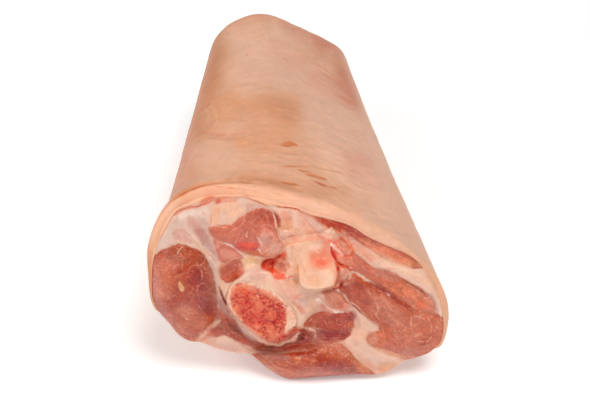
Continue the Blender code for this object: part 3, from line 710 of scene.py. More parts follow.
    ("line", "fat_pink", 0.5, 0.8, -0.1, [285, 214, 287, 220, 285, 226]),
    # streaked fat that runs down to the cap
    ("patch", "fat_pink", 0.75, 3, 0.2, [300, 212, 308, 214, 317, 219, 325, 227, 332, 235, 331, 246, 320,
     246, 310, 243, 307, 234, 303, 223]),
    ("patch", "grey_film", 0.45, 1.5, 0.1, [302, 213, 307, 214.5, 315, 219.5, 323, 226.5, 325, 231, 320,
     233.5, 312, 227, 305, 219]),
    ("patch", "silver", 0.75, 1.5, 0.1, [306, 216.5, 312, 219, 319, 224.5, 323.5, 229.5, 320, 232, 313, 226,
     307, 220]),
    ("patch", "peach", 0.4, 2.5, 0, [304, 226, 308, 226, 314, 236, 318, 243, 310, 242, 306, 236]),
    ("line", "tan", 0.35, 0.6, -0.05, [300.5, 214, 307, 221, 314, 229, 320, 235]),
    ("line", "salmon", 0.5, 0.7, -0.1, [302, 213, 308, 218, 316, 225, 322, 232]),
    ("line", "salmon", 0.45, 0.7, -0.1, [301, 219, 306, 227, 312, 234]),
    ("line", "rose", 0.4, 0.8, -0.1, [314, 232, 320, 237, 326, 242.5]),
    ("line", "pale", 0.4, 0.7, 0.05, [312, 231, 318, 237, 324, 242], [302, 217, 308, 225, 314, 232]),
    ("patch", "rose", 0.35, 1.5, 0, [317, 233, 323, 236, 329, 242, 326, 244, 320, 240]),
    ("patch", "peach", 0.5, 3, 0.3, [305, 242, 314, 243, 318, 249, 308, 252, 299, 247]),
    ("patch", "cream", 0.6, 1.4, 0.5, [324, 231.5, 327, 228.5, 331, 227, 335, 228.5, 337, 232, 335, 237,
     329, 238]),
    ("line", "tan", 0.7, 0.8, -0.15, [322.5, 232.5, 325, 229.5, 328, 227.5, 331.5, 226.8]),
    ("line", "rust", 0.5, 0.8, -0.15, [331.5, 227, 334.5, 228.5, 337, 231.5, 338, 235]),
    ("patch", "salmon", 0.3, 1.5, 0, [329, 233, 335, 234, 338, 238, 333, 240, 328, 238]),
    # gristle cap
    ("patch", "peach", 0.6, 4, 0.3, [298, 248, 306, 244, 318, 245, 328, 247, 334, 257, 336, 266, 331, 269,
     312, 268, 301, 268, 298, 260]),
    ("patch", "peach", 0.6, 4, 0.12, [300, 270, 306, 268, 320, 268, 334, 269, 338, 274, 337, 283, 333, 288,
     320, 289.5, 308, 290, 302, 287, 299, 281]),
    ("patch", "cream", 0.55, 4, 0.2, [302, 273, 312, 271, 326, 272, 334, 275, 333, 284, 318, 286, 306,
     285]),
    ("patch", "cream", 0.7, 2, 0.2, [322, 271, 330, 271, 334, 275, 333, 283, 327, 287, 321, 284]),
    ("patch", "white", 0.35, 2, 0.2, [300, 281, 305, 284, 314, 286, 324, 286, 324, 289, 310, 289.5, 302,
     287]),
    ("patch", "peach", 0.5, 2.5, -0.3, [306, 274.5, 315, 273.5, 323, 274, 326, 279, 323, 285, 314, 287, 307,
     283]),
    ("patch", "tan", 0.18, 2.5, 0, [307, 276, 315, 275, 322, 277, 322, 283, 314, 285, 308, 282]),
    ("line", "cream", 0.5, 1, 0.15, [325, 273, 328.5, 278, 327.5, 284, 324, 288]),
    # painted highlights: small white specks where the wet cap glints, and a pale line where light catches
    # the ridge between its two parts
    ("line", "white", 0.5, 0.6, 0.1, [316, 252, 319, 253.5]),
    ("line", "white", 0.5, 0.5, 0.1, [308, 251, 309.5, 253.5]),
    ("line", "white", 0.4, 0.5, 0.1, [303, 250, 304, 253]),
    ("line", "white", 0.4, 0.6, 0.1, [327, 271, 330, 271.5]),
    ("line", "pale", 0.3, 2, 0, [302, 270, 310, 268.5, 320, 269, 330, 269.5]),
    ("patch", "scarlet", 0.28, 6, 0, [306, 256, 314, 250, 326, 246, 333, 254, 335, 264, 328, 268, 316, 268,
     308, 264]),
    ("patch", "scarlet", 0.4, 4, 0, [313, 257, 320, 254, 328, 256, 330, 263, 325, 267, 316, 266]),
    ("patch", "scarlet", 0.5, 2, -0.1, [317, 262, 321, 258, 325, 261, 326, 265, 322, 267, 318, 265.5]),
    ("patch", "blood", 0.3, 1.2, 0, [320, 261.5, 322.5, 261.5, 323.5, 264.5, 321, 265.5]),
    ("patch", "coral", 0.45, 3, 0, [322, 242, 330, 242, 334, 250, 334, 260, 328, 258, 323, 250]),
    ("patch", "coral", 0.25, 3, 0, [308, 256, 318, 252, 326, 256, 327, 265, 316, 267, 309, 264]),
    # painted highlight: a small white patch where the wet cap glints
    ("patch", "white", 0.3, 1.5, 0.1, [310, 245, 318, 244, 320, 248, 314, 251, 309, 249]),
    ("patch", "cream", 0.4, 2, 0, [301, 252, 308, 252, 309, 262, 304, 266, 301, 262]),
    # painted highlights: white and cream specks where the wet cap glints
    ("line", "white", 0.6, 0.7, 0.1, [315, 251.5, 319, 253]),
    ("line", "white", 0.5, 0.8, 0.1, [321.5, 258, 325, 259.5]),
    ("line", "white", 0.35, 0.8, 0.1, [319, 245.5, 323, 246.5]),
    ("line", "cream", 0.5, 0.7, 0.1, [307, 252, 310, 254]),
    ("line", "tan", 0.35, 0.9, -0.1, [303, 266, 304.5, 271, 304.5, 276]),
    ("line", "tan", 0.25, 1.5, -0.1, [300.5, 258, 302, 264, 300.5, 270]),
    ("patch", "salmon", 0.5, 1.8, -0.2, [334, 271, 338, 273, 338, 281, 335, 287, 333.5, 279]),
    # painted shadow: a tan line under the cap's lower edge
    ("line", "tan", 0.4, 1, -0.1, [301, 287.5, 306, 290.8, 314, 291.3, 322, 290.4]),
    ("line", "salmon", 0.5, 1.2, -0.1, [324, 289.5, 331, 288, 336, 285.5]),
    # painted shadow: a dark line under the cap's lower right edge
    ("line", "flesh_dark", 0.5, 1, -0.3, [321, 291, 327, 289.5, 333, 289]),
    ("line", "rust", 0.5, 1, -0.2, [330, 289, 336, 288, 341, 285]),
    # torn tissue beside the cap
    ("patch", "coral", 0.75, 2, -0.2, [328, 240, 334, 238, 342, 236, 350, 237, 354, 246, 355, 256, 354, 268,
     348, 268, 340, 264, 334, 256, 330, 247]),
    ("patch", "rust", 0.5, 1.2, -0.1, [333, 227, 339, 228.5, 346, 231, 351, 237, 350, 241, 345, 238, 339,
     234]),
    ("patch", "scarlet", 0.6, 1.4, -0.2, [334, 246, 340, 252, 346, 255, 352, 256, 350, 260, 342, 257, 336,
     252]),
    ("lump", "pale", 0.6, 4.5, 0.77, [322.5, 233, 325.5, 229.5, 330, 227, 334, 228.5, 337, 233, 338.5, 238,
     335, 241.5, 330, 240.5, 325.5, 237.5]),
    ("lump", "tan", 0.6, 2.5, 0.49, [334, 228, 338, 229.5, 339.5, 233, 337, 235.5, 335, 232]),
    ("lump", "fat_pink", 0.6, 3.5, 0.63, [339.5, 231, 343.5, 229.5, 348, 233, 351, 238.5, 347, 240.5, 341.5,
     238.5]),
    ("lump", "white", 0.7, 2.2, 0.7, [329.5, 245.5, 331.5, 242, 334.5, 244, 339, 248.5, 343.5, 253, 342,
     256.5, 337.5, 253, 333, 249]),
    ("lump", "pale", 0.75, 3.2, 0.84, [335.5, 241.5, 339.5, 239.5, 345, 243, 349.5, 249, 350.5, 254.5, 346,
     254.5, 340.5, 249]),
    ("lump", "salmon", 0.55, 2.5, 0.7, [343.5, 240, 349, 240, 353.5, 246, 354.5, 253.5, 351.5, 253, 348.5,
     247]),
    ("lump", "fat_pink", 0.75, 3.5, 0.77, [336.5, 257, 339.5, 254.8, 344.5, 256, 350, 259, 352.5, 264.5,
     347, 265.5, 341, 261.5]),
    ("lump", "pale", 0.4, 2.2, 0.63, [346.5, 256, 350, 255, 353.5, 258.5, 352.5, 262, 348.5, 260]),
    ("lump", "salmon", 0.5, 2, 0.56, [351, 262, 354, 260, 357, 265, 356.5, 270, 353.5, 268.5]),
    ("patch", "scarlet", 0.85, 1.2, -0.7, [335.5, 261.5, 339.5, 262.5, 344, 265.5, 345, 268, 340, 268.5,
     338, 271.5, 336.5, 269]),
    ("line", "scarlet", 0.7, 2.6, -0.3, [330, 246, 333, 252, 336, 258, 339.5, 263.5]),
    ("line", "blood", 0.9, 1.6, -0.7, [329.8, 245.5, 332, 251, 334.5, 256.5, 337, 261, 339.5, 263.5]),
    ("line", "scarlet", 0.7, 2.2, -0.2, [339, 263.5, 344, 266, 349, 268.3, 354, 271.5]),
    ("line", "blood", 0.8, 1.3, -0.6, [338.5, 263, 343, 265, 348, 267.3, 353.5, 271]),
    ("line", "blood", 0.6, 1.2, -0.5, [337.5, 264, 338, 270, 340, 276, 342, 280]),
    ("line", "scarlet", 0.7, 0.9, -0.3, [333, 243, 338, 247.5, 343.5, 251.5, 347, 255, 352, 256]),
    ("line", "scarlet", 0.6, 0.8, -0.3, [351, 244, 352.5, 250, 351, 256]),
    ("line", "coral", 0.6, 0.9, -0.2, [329, 241, 334, 241.8, 340, 240, 346, 241.5]),
    ("lump", "pale", 0.95, 4, 0.91, [339.5, 273, 341.5, 269.5, 346.5, 268.5, 351.5, 271.5, 352.8, 276, 349,
     279.5, 343.5, 278]),
    ("lump", "white", 0.5, 1.8, 0.42, [348, 272.5, 351, 272.5, 352, 276, 349.5, 277.5]),
    ("lump", "pale", 0.7, 2.5, 0.77, [343, 281.5, 346, 279.5, 349, 282, 347.5, 285.5, 344, 285.5]),
    ("lump", "salmon", 0.55, 2.5, 0.56, [335.5, 280, 339, 278, 341, 282.5, 338.5, 287.5, 334.5, 289]),
    ("patch", "scarlet", 0.5, 1.2, -0.3, [338, 274, 341, 277, 342, 281, 340, 286, 338.5, 281]),
    ("line", "blood", 0.8, 1.3, -0.5, [342.5, 279.5, 341.5, 284, 338, 288, 332, 289.8]),
    ("line", "white", 0.6, 0.6, 0.1, [338, 246, 342, 250]),
    ("line", "white", 0.5, 0.5, 0.1, [343, 256.5, 347, 258], [327, 231, 330, 229.5]),
    # lobe and strand under the cap
    ("patch", "flesh_light", 0.9, 1.6, 0.6, [322, 291, 330, 290, 337, 291, 343, 297, 349, 303, 349, 309,
     341, 310.5, 333, 308, 327, 303, 324, 297]),
    ("patch", "flesh", 0.4, 2.5, 0, [333, 297, 341, 299, 343, 305, 337, 307]),
    ("patch", "fat_pink", 0.6, 1.3, 0.2, [344, 303, 350, 304, 349, 309.5, 341, 311, 336, 309, 342, 307.5]),
    ("patch", "rose", 0.6, 1.8, 0.1, [321, 303, 329, 305, 334, 311, 331, 316, 324, 314, 320, 308]),
    ("line", "white", 0.9, 1.4, 0.28, [317, 297, 321, 300, 324, 303.5]),
    ("line", "white", 0.7, 0.8, 0.16, [322, 302, 328, 308, 336, 312, 345, 312.5, 352, 310]),
    ("patch", "white", 0.6, 1, 0.5, [316, 299, 321, 298, 323, 302, 319, 303.5]),
    ("line", "fat_pink", 0.6, 0.8, 0.08, [319, 292, 322, 297, 324, 303]),
    ("patch", "fat_pink", 0.35, 2.5, 0.2, [323, 291, 333, 291, 342, 297, 340, 302, 331, 299]),
    ("line", "flesh_dark", 0.55, 1, -0.3, [331, 290.5, 338, 292, 344, 298, 350, 305, 355, 311]),
    ("line", "tan", 0.5, 0.8, 0.1, [333, 293, 340, 297.5, 346, 303]),
    ("patch", "rose", 0.3, 2.5, 0, [338, 303, 346, 302, 348, 308, 341, 309]),
    # fat and film under the strip muscle
    ("patch", "pale", 0.85, 2, 0.2, [350, 237, 357, 241, 366, 250, 376, 256, 390, 261, 402, 266, 414, 269,
     424, 270, 431, 281, 437, 296, 434, 301, 428, 293, 418, 286, 406, 279, 396, 272.5, 384, 268, 374, 264,
     364, 257, 355, 249]),
    ("patch", "fat_pink", 0.55, 2, 0, [352, 240, 361, 247, 370, 257, 374, 263, 364, 257, 355, 249]),
    ("line", "salmon", 0.45, 0.6, -0.08, [352, 241, 359, 249, 367, 258, 374, 264]),
    ("line", "tan", 0.35, 0.6, -0.08, [366, 252, 376, 258.5, 388, 263]),
    ("patch", "cream", 0.7, 2, 0.2, [376, 258, 392, 263, 404, 267, 402, 271, 390, 268, 378, 264]),
    ("line", "coral", 0.4, 0.8, -0.04, [384, 267, 391, 268, 397, 268.5]),
    ("line", "white", 0.5, 0.6, 0.08, [392, 270, 396, 274.5]),
    ("patch", "tan", 0.4, 2, 0, [423, 272, 430, 281, 437, 292, 438, 300, 433, 288]),
    ("patch", "mauve", 0.45, 1.8, -0.1, [400, 278, 408, 281.5, 417, 286, 425, 290.5, 430, 296, 424, 294,
     415, 289, 405, 284]),
    ("line", "white", 0.75, 0.6, 0.12, [415, 283, 421, 287, 425.5, 291.5]),
    ("line", "white", 0.8, 0.7, 0.12, [424, 297, 427.5, 298, 430.5, 295.5]),
    ("patch", "violet", 0.5, 2, 0, [429, 293, 436, 301, 438, 311, 434, 312, 431, 302]),
    ("line", "white", 0.5, 0.7, 0.08, [437, 304, 440, 313, 442, 322]),
    ("patch", "cream", 0.5, 2.5, 0.1, [400, 268, 414, 270, 424, 276, 430, 286, 424, 284, 414, 278, 404,
     274]),
    ("patch", "fat_pink", 0.4, 2.5, 0, [360, 246, 372, 252, 384, 259, 380, 262, 368, 257]),
    ("patch", "pale", 0.55, 2, 0.1, [384, 258, 396, 259, 406, 263, 412, 268, 404, 268, 394, 265]),
    ("patch", "salmon", 0.25, 3, 0, [353, 240, 360, 244, 368, 252, 372, 262, 362, 256, 354, 248]),
    ("line", "pale", 0.6, 0.8, 0.1, [356, 241, 364, 248, 373, 255, 384, 261]),
    ("line", "pale", 0.5, 0.7, 0.1, [362, 247, 372, 255.5, 382, 260.5, 394, 264]),
    ("line", "salmon", 0.4, 0.7, -0.1, [354, 239.5, 361, 246.5, 370, 254.5, 380, 260.5]),
    ("line", "salmon", 0.35, 0.7, -0.1, [358, 250, 366, 257.5, 376, 263]),
    ("line", "pale", 0.7, 0.9, 0.15, [404, 275.5, 414, 279, 422, 284, 429, 291.5, 436, 299.5]),
    ("line", "tan", 0.35, 0.8, -0.1, [398, 271, 408, 274, 418, 277.5, 426, 283]),
    ("line", "silver", 0.6, 0.8, 0.1, [390, 271, 396, 274.5, 402, 277]),
    ("line", "tan", 0.4, 0.9, -0.05, [424, 271, 430, 281, 436, 291.5, 440, 302]),
    ("patch", "rose", 0.35, 1.5, -0.2, [378, 267, 384, 269.5, 390, 270, 396, 273, 392, 275.5, 384, 272.5]),
    # strip muscle
    ("patch", "flesh_dark", 0.2, 2, 0, [316, 216, 330, 219, 346, 223, 358, 229, 368, 237, 360, 236, 346,
     231, 330, 227]),
    ("patch", "brick", 0.3, 1.5, 0, [338, 222, 352, 227, 364, 235, 354, 234, 342, 229]),
    ("patch", "salmon", 0.85, 3, 0, [358, 238, 374, 243, 390, 249, 402, 256, 412, 263, 402, 265, 388, 259,
     374, 252, 362, 245]),
    ("patch", "flesh_light", 0.5, 2, 0, [366, 237, 380, 244, 396, 249.5, 410, 256, 404, 256, 390, 252, 376,
     247]),
    ("patch", "flesh_orange", 0.4, 2.5, 0, [374, 246, 388, 250, 400, 257, 404, 263, 392, 259, 380, 253]),
    ("patch", "peach", 0.55, 2.5, 0.1, [366, 249, 376, 252, 388, 257, 400, 262.5, 410, 266, 400, 265, 388,
     260.5, 376, 256]),
    ("patch", "tan", 0.45, 2.5, 0, [404, 258, 413, 260, 422, 267, 413, 268, 405, 265]),
    ("line", "flesh", 0.35, 1.2, 0, [356, 232.5, 366, 236, 373, 239, 381, 243.5, 390, 247.5, 400, 251, 410,
     256, 418, 262]),
    ("line", "flesh_dark", 0.35, 0.8, -0.1, [310, 215.5, 322, 217.5, 334, 221, 346, 225, 356, 231]),
    ("line", "fat_pink", 0.5, 0.7, 0.05, [379, 247, 383, 251.5, 386, 257]),
    ("line", "fat_pink", 0.4, 0.7, 0.05, [358, 238, 368, 243.5, 380, 247.5], [366, 246, 376, 250.5, 388,
     256]),
    ("line", "fat_pink", 0.35, 0.6, 0.05, [392, 252, 400, 256, 407, 261]),
    ("line", "fat_pink", 0.3, 0.6, 0.05, [322, 219, 332, 222, 342, 226]),
    # outer muscle
    ("patch", "rose", 0.65, 2.5, 0, [352, 253, 360, 257, 368, 264, 376, 270, 372, 276, 362, 273, 354, 268]),
    ("patch", "rose", 0.35, 3, 0, [356, 262, 368, 268, 384, 274, 398, 281, 392, 284, 376, 278, 362, 271]),
    ("patch", "violet", 0.55, 2.5, 0.1, [374, 267, 386, 269.5, 397, 274.5, 401, 281, 391, 281, 379, 275.5]),
    ("patch", "mauve", 0.35, 2.5, 0, [378, 269, 390, 272, 398, 278, 390, 278]),
    ("patch", "flesh_orange", 0.55, 3, 0, [376, 277, 392, 281, 406, 287, 414, 294, 404, 298, 390, 292, 378,
     285]),
    ("patch", "salmon", 0.35, 4, 0, [402, 287, 414, 290, 426, 297, 434, 304, 434, 312, 422, 307, 408, 299]),
    ("patch", "mauve", 0.4, 2.2, -0.1, [402, 279, 410, 281.5, 419, 286.5, 427, 292, 430, 297, 423, 295, 413,
     290, 405, 285]),
    ("line", "mauve", 0.35, 0.9, -0.05, [403, 279.5, 411, 284, 418, 289, 426, 294]),
    ("line", "silver", 0.55, 0.7, 0.1, [404, 282.5, 411, 286.5, 418, 291.5, 425, 295.5]),
    ("line", "silver", 0.6, 0.8, 0.1, [407, 281, 415, 283.5, 422, 288, 427, 293.5]),
    ("line", "fat_pink", 0.4, 0.6, 0.05, [354, 257, 358, 262, 357, 268], [360, 262, 364, 268, 372, 274]),
    ("line", "fat_pink", 0.5, 0.7, 0.05, [371, 270, 375, 273, 379, 277]),
    ("line", "fat_pink", 0.4, 0.6, 0.05, [381, 276, 388, 280, 396, 282]),
    ("line", "fat_pink", 0.5, 0.6, 0.05, [402, 290.5, 406, 292, 405, 294.5]),
    ("line", "fat_pink", 0.4, 0.5, 0.05, [407, 297, 409, 299.5], [416, 294, 418, 296]),
    ("patch", "scarlet", 0.5, 1.3, 0, [419, 301, 422, 301.5, 423, 304.5, 420.5, 305.5]),
    ("patch", "flesh", 0.9, 1.4, 0, [366, 281, 374, 283.5, 386, 289, 398, 296, 410, 303, 424, 310, 436, 313,
     440, 318, 430, 317, 416, 312, 400, 304, 386, 296, 374, 289, 366, 284]),
    ("patch", "flesh_orange", 0.4, 2.5, 0, [384, 287, 398, 293, 412, 301, 424, 308, 420, 311, 406, 305, 390,
     296]),
    ("patch", "flesh_dark", 0.35, 2, -0.1, [376, 284, 388, 290, 400, 298, 410, 304, 406, 307, 394, 300, 382,
     292]),
    ("line", "fat_pink", 0.35, 0.7, 0.05, [384, 284, 392, 288, 398, 293]),
    ("line", "pale", 0.85, 1, 0.15, [351, 270.5, 357, 273, 361.5, 275.5, 364.5, 280, 369, 282.5]),
    ("line", "fat_pink", 0.5, 0.7, 0.05, [367, 281.5, 371, 284.5, 376, 288]),
    ("line", "flesh_dark", 0.4, 0.9, -0.1, [370, 283, 382, 291, 394, 299, 404, 306]),
    ("patch", "salmon", 0.3, 3, 0, [408, 303, 420, 305, 432, 309, 434, 316, 420, 314]),
    # main muscle
    ("patch", "flesh_dark", 0.4, 3, -0.1, [341, 284, 350, 277, 358, 280, 368, 290, 374, 302, 368, 312, 358,
     303, 348, 295]),
    ("patch", "flesh_dark", 0.35, 2, -0.2, [370, 279, 380, 286, 392, 295, 402, 304, 410, 305, 406, 310, 396,
     305, 384, 297, 374, 289]),
    ("patch", "flesh_dark", 0.3, 2, -0.1, [393, 330, 402, 333, 408, 338, 402, 342, 392, 337]),
    ("line", "fat_pink", 0.6, 0.6, 0.08, [350, 294.5, 355, 299.5, 361.5, 306.5]),
    ("line", "fat_pink", 0.5, 0.6, 0.04, [372, 307, 375, 312, 377, 318]),
    ("line", "fat_pink", 0.6, 0.6, 0.04, [377, 291, 381, 292, 381, 297, 385, 303, 391, 309]),
    ("line", "fat_pink", 0.5, 0.6, 0.04, [355, 286, 358, 290, 356, 293.5]),
    ("line", "fat_pink", 0.4, 0.5, 0.04, [387, 291, 390, 298, 396, 302], [385, 310, 390, 315, 396, 317]),
    ("line", "fat_pink", 0.5, 0.6, 0.04, [380, 322, 385, 321, 389, 325], [400, 322.5, 402.5, 325, 402,
     328]),
    ("line", "fat_pink", 0.4, 0.5, 0.04, [394, 319, 398, 323, 396, 328]),
    ("line", "pale", 0.75, 0.8, 0.12, [411, 314.5, 411, 321, 410.5, 329.5]),
    ("line", "flesh_dark", 0.7, 0.9, -0.16, [411, 303.5, 410.5, 309, 412.5, 315, 413.5, 322, 412.5, 329]),
    ("line", "white", 0.7, 0.6, 0.08, [415, 316, 419, 317, 421, 321]),
    ("line", "white", 0.6, 0.5, 0.08, [420, 314, 422, 317.5]),
    ("line", "pale", 0.7, 0.7, 0.08, [427, 317, 430, 322, 432, 328, 430.5, 334.5]),
    ("line", "pale", 0.65, 0.6, 0.08, [414.5, 337, 419, 334.5, 424, 332.5]),
    ("line", "pale", 0.8, 0.8, 0.08, [415.5, 340, 420, 342, 424, 342]),
    ("line", "pale", 0.7, 0.6, 0.04, [425, 342.5, 429.5, 340, 432, 336]),
    ("line", "fat_pink", 0.6, 0.6, 0.04, [403, 344.5, 407, 348, 412.5, 349]),
    ("line", "fat_pink", 0.5, 0.6, 0.04, [403, 338, 405, 335.5, 408, 336]),
    ("line", "fat_pink", 0.45, 0.5, 0.04, [418, 346.5, 427, 346, 435, 342]),
    ("line", "fat_pink", 0.4, 0.5, 0.04, [414, 352, 425, 351, 435, 346.5], [434, 320, 437, 328, 436, 337]),
    ("line", "flesh_dark", 0.5, 0.8, -0.08, [414, 331, 422, 329, 428, 324]),
    ("line", "flesh_dark", 0.45, 0.8, -0.08, [412, 344, 421, 345, 430, 342]),
    ("line", "flesh_dark", 0.4, 0.8, -0.08, [408, 352, 420, 354, 432, 349]),
    ("patch", "rose", 0.4, 3, 0, [384, 338, 396, 340, 404, 346, 398, 352, 388, 350]),
    ("patch", "salmon", 0.3, 3, 0, [378, 333, 388, 335, 386, 346, 380, 346]),
    ("line", "fat_pink", 0.6, 0.6, 0.04, [380, 325, 383, 331, 386.5, 337.5]),
    ("line", "fat_pink", 0.5, 0.6, 0.04, [394, 345, 395, 351]),
    ("patch", "flesh_orange", 0.7, 2, 0, [382, 351, 394, 353.5, 406, 356, 416, 356, 410, 361.5, 396, 357]),
    ("patch", "flesh_orange", 0.6, 2.5, 0, [432, 318, 441, 319, 443, 331, 439, 342, 430, 349, 434, 338, 436,
     327]),
    ("patch", "violet", 0.25, 3, 0, [402, 349, 416, 349, 420, 355, 408, 358]),
    ("patch", "scarlet", 0.25, 3, 0, [414, 300, 424, 303, 427, 310, 418, 310]),
    ("line", "white", 0.7, 0.6, 0.12, [349, 301, 355, 305, 360.5, 310, 366.5, 316]),
    ("patch", "flesh_dark", 0.3, 4, -0.1, [344, 282, 356, 284, 372, 292, 384, 302, 392, 314, 384, 318, 370,
     308, 356, 298]),
    ("patch", "flesh_orange", 0.35, 4, 0, [414, 308, 428, 312, 440, 320, 443, 332, 438, 344, 430, 350, 432,
     336, 424, 322]),
    ("patch", "salmon", 0.3, 4, 0, [412, 318, 424, 318, 430, 330, 426, 338, 416, 336, 410, 328]),
    ("patch", "rose", 0.25, 4, 0, [380, 334, 394, 332, 404, 338, 402, 348, 388, 348]),
    ("line", "flesh_dark", 0.4, 0.9, -0.1, [343, 285, 352, 296, 362, 307]),
    ("line", "pale", 0.55, 0.8, 0.1, [374, 302, 377.5, 306, 378, 311, 376, 315, 380, 321]),
    ("patch", "fat_pink", 0.28, 5, 0, [366, 290, 382, 294, 398, 306, 404, 318, 396, 326, 384, 318, 372,
     306]),
    ("patch", "fat_pink", 0.25, 5, 0, [392, 322, 408, 324, 420, 334, 416, 346, 402, 342, 392, 334]),
    ("patch", "rose", 0.3, 3, 0, [346, 284, 356, 288, 366, 300, 374, 312, 366, 312, 354, 300]),
    ("line", "fat_pink", 0.35, 0.7, 0.05, [376, 315, 372, 311, 369, 306]),
    ("line", "fat_pink", 0.45, 0.7, 0.05, [384, 300, 390, 308, 398, 314]),
    ("line", "fat_pink", 0.4, 0.6, 0.05, [383, 293, 386, 300, 392, 305, 398, 309], [366, 288, 371, 294, 376,
     299], [396, 304, 404, 308, 410, 312], [402, 323, 405, 328, 402, 332]),
    ("line", "fat_pink", 0.5, 0.7, 0.05, [414, 318, 419, 316.5, 424, 319, 427, 324]),
    ("line", "fat_pink", 0.4, 0.6, 0.05, [413, 325, 420, 324, 425, 327]),
    ("patch", "flesh_orange", 0.75, 3, 0.1, [365, 338, 369, 332.5, 377, 331, 386, 332, 388, 340, 384, 348,
     376, 349, 369, 345]),
    ("patch", "peach", 0.35, 2.5, 0.1, [366, 337, 370, 333.5, 377, 334, 378, 340, 372, 345, 368, 342]),
    ("patch", "tan", 0.5, 2, 0, [372, 346, 382, 350, 394, 353.5, 406, 356.5, 398, 357, 384, 353]),
    ("patch", "flesh_orange", 0.4, 2.5, 0, [406, 354, 418, 353, 430, 348, 438, 340, 440, 344, 430, 352, 418,
     357]),
    ("line", "pale", 0.5, 0.8, 0.1, [348, 303, 355, 309, 361, 314, 368, 319, 376, 323]),
    ("line", "flesh_dark", 0.5, 1.1, -0.3, [348, 301, 354, 306.5, 361, 312.5]),
    # fat and film between the main and lower muscles
    ("patch", "pale", 0.7, 2.5, 0.1, [356, 316, 362, 317, 370, 322, 377, 324, 377, 330, 370, 331, 362, 331,
     357, 329, 355, 322]),
    ("patch", "violet", 0.45, 1.5, -0.1, [354, 315, 359, 318, 361, 328, 356, 330]),
    ("patch", "peach", 0.6, 2, 0.1, [357, 329, 368, 331, 364, 338, 358, 339]),
    ("patch", "cream", 0.7, 2.5, 0.3, [345, 340, 353, 336, 363, 338, 371, 348, 384, 355, 400, 361, 394, 364,
     380, 361, 368, 357, 356, 349]),
    ("patch", "silver", 0.5, 2, 0.1, [366, 354, 382, 358, 396, 362, 388, 366, 374, 364]),
    ("line", "white", 0.5, 0.7, 0.08, [370, 348, 382, 354.5, 398, 361]),
    ("patch", "tan", 0.6, 2, 0, [378, 363, 390, 362, 396, 365, 389, 371, 380, 373]),
    ("line", "tan", 0.6, 0.9, 0, [384, 351, 397, 356.5, 407, 360]),
    ("line", "tan", 0.4, 0.7, 0, [387, 361, 385.5, 369]),
    ("patch", "fat_pink", 0.5, 1.2, 0.1, [369, 362, 374, 362, 374, 367, 370, 367]),
    ("patch", "fat_pink", 0.35, 3, 0, [352, 332, 362, 334, 362, 342, 352, 346]),
    ("line", "white", 0.5, 0.8, 0.1, [345, 341, 354, 347, 364, 353, 376, 358, 390, 361.5]),
    ("line", "tan", 0.35, 0.8, -0.05, [356, 344, 366, 350, 378, 356]),
    ("patch", "flesh_light", 0.35, 3, 0, [356, 352, 364, 358, 374, 366, 384, 369, 376, 372, 364, 366]),
    ("patch", "salmon", 0.3, 2, 0, [364, 357, 370, 360, 373, 367, 367, 366]),
    ("patch", "tan", 0.3, 2.5, 0, [386, 363, 394, 362, 398, 364, 390, 370]),
    # inner muscle
    ("patch", "flesh_light", 0.35, 2.5, 0, [304, 324, 311, 317, 317, 315, 320, 322, 316, 328, 307, 328]),
    ("patch", "flesh_dark", 0.35, 2.5, 0, [331, 316, 341, 315, 347, 322, 344, 330, 334, 329]),
    ("patch", "flesh_dark", 0.6, 2, -0.3, [343, 313, 352, 310, 357, 315, 354, 321, 346, 321]),
    ("patch", "flesh_orange", 0.6, 1.5, 0.1, [350, 320, 354, 321, 355, 328, 351, 331, 348, 327]),
    ("line", "rose", 0.8, 0.7, 0.08, [318, 313, 323, 319, 327, 325, 331, 330]),
    ("line", "rose", 0.5, 0.6, 0.04, [325, 315, 329, 320, 333, 327]),
    ("line", "white", 0.6, 0.5, 0.04, [309, 322, 312, 318]),
    ("line", "fat_pink", 0.4, 0.6, 0.04, [346, 319, 345, 325, 347, 331]),
    ("line", "fat_pink", 0.4, 0.5, 0.04, [343, 315, 348, 316.5]),
    ("line", "fat_pink", 0.5, 0.6, 0.04, [333, 329, 330, 333, 333, 338]),
    ("line", "fat_pink", 0.4, 0.6, 0.05, [306, 326, 310, 320, 316, 314]),
    ("line", "fat_pink", 0.35, 0.6, 0.05, [336, 318, 340, 324, 342, 329]),
    # dark tissue and the hollow under the inner muscle, with painted shade in the hollow and in a small hole
    ("patch", "flesh", 1, 1.5, -0.2, [300, 328, 318, 329, 334, 329, 350, 329, 352, 333, 346, 339, 336, 343,
     322, 347, 308, 349, 292, 351, 276, 352, 262, 351, 252, 349, 262, 346.5, 276, 347, 290, 344, 301, 340,
     300, 333]),
    ("patch", "flesh_dark", 0.7, 1.8, -0.4, [316, 331, 330, 331, 343, 332, 346, 336, 336, 339, 322, 339,
     313, 336]),
    ("patch", "mauve", 0.7, 1.8, -0.3, [304, 333, 314, 334, 313, 341, 304, 342, 296, 343, 288, 346, 280,
     348, 284, 345, 294, 341]),
    ("patch", "violet", 0.4, 1.5, 0.1, [312, 331, 322, 332, 326, 340, 320, 346, 313, 343]),
    ("line", "white", 0.5, 0.5, 0.12, [304, 335, 306, 338.5, 306, 341]),
    ("line", "fat_pink", 0.5, 0.6, 0.04, [313, 341, 317, 345, 324, 343, 330, 341.5], [315, 345, 318, 349,
     323, 354]),
    ("line", "fat_pink", 0.4, 0.5, 0.04, [330, 341, 337, 340, 343, 341], [321, 334, 327, 338, 334, 337],
     [325, 344, 325, 349, 330, 352]),
    ("patch", "flesh_dark", 0.5, 2.5, -0.1, [318, 330, 334, 330, 348, 328, 350, 334, 340, 340, 326, 341]),
    ("patch", "fat_pink", 0.6, 1.2, 0.2, [304, 328.5, 311, 328, 316, 330.5, 314, 332, 306, 330.5]),
    ("line", "white", 0.7, 0.8, 0.15, [303, 329.3, 308, 328.5, 313, 330, 316, 332]),
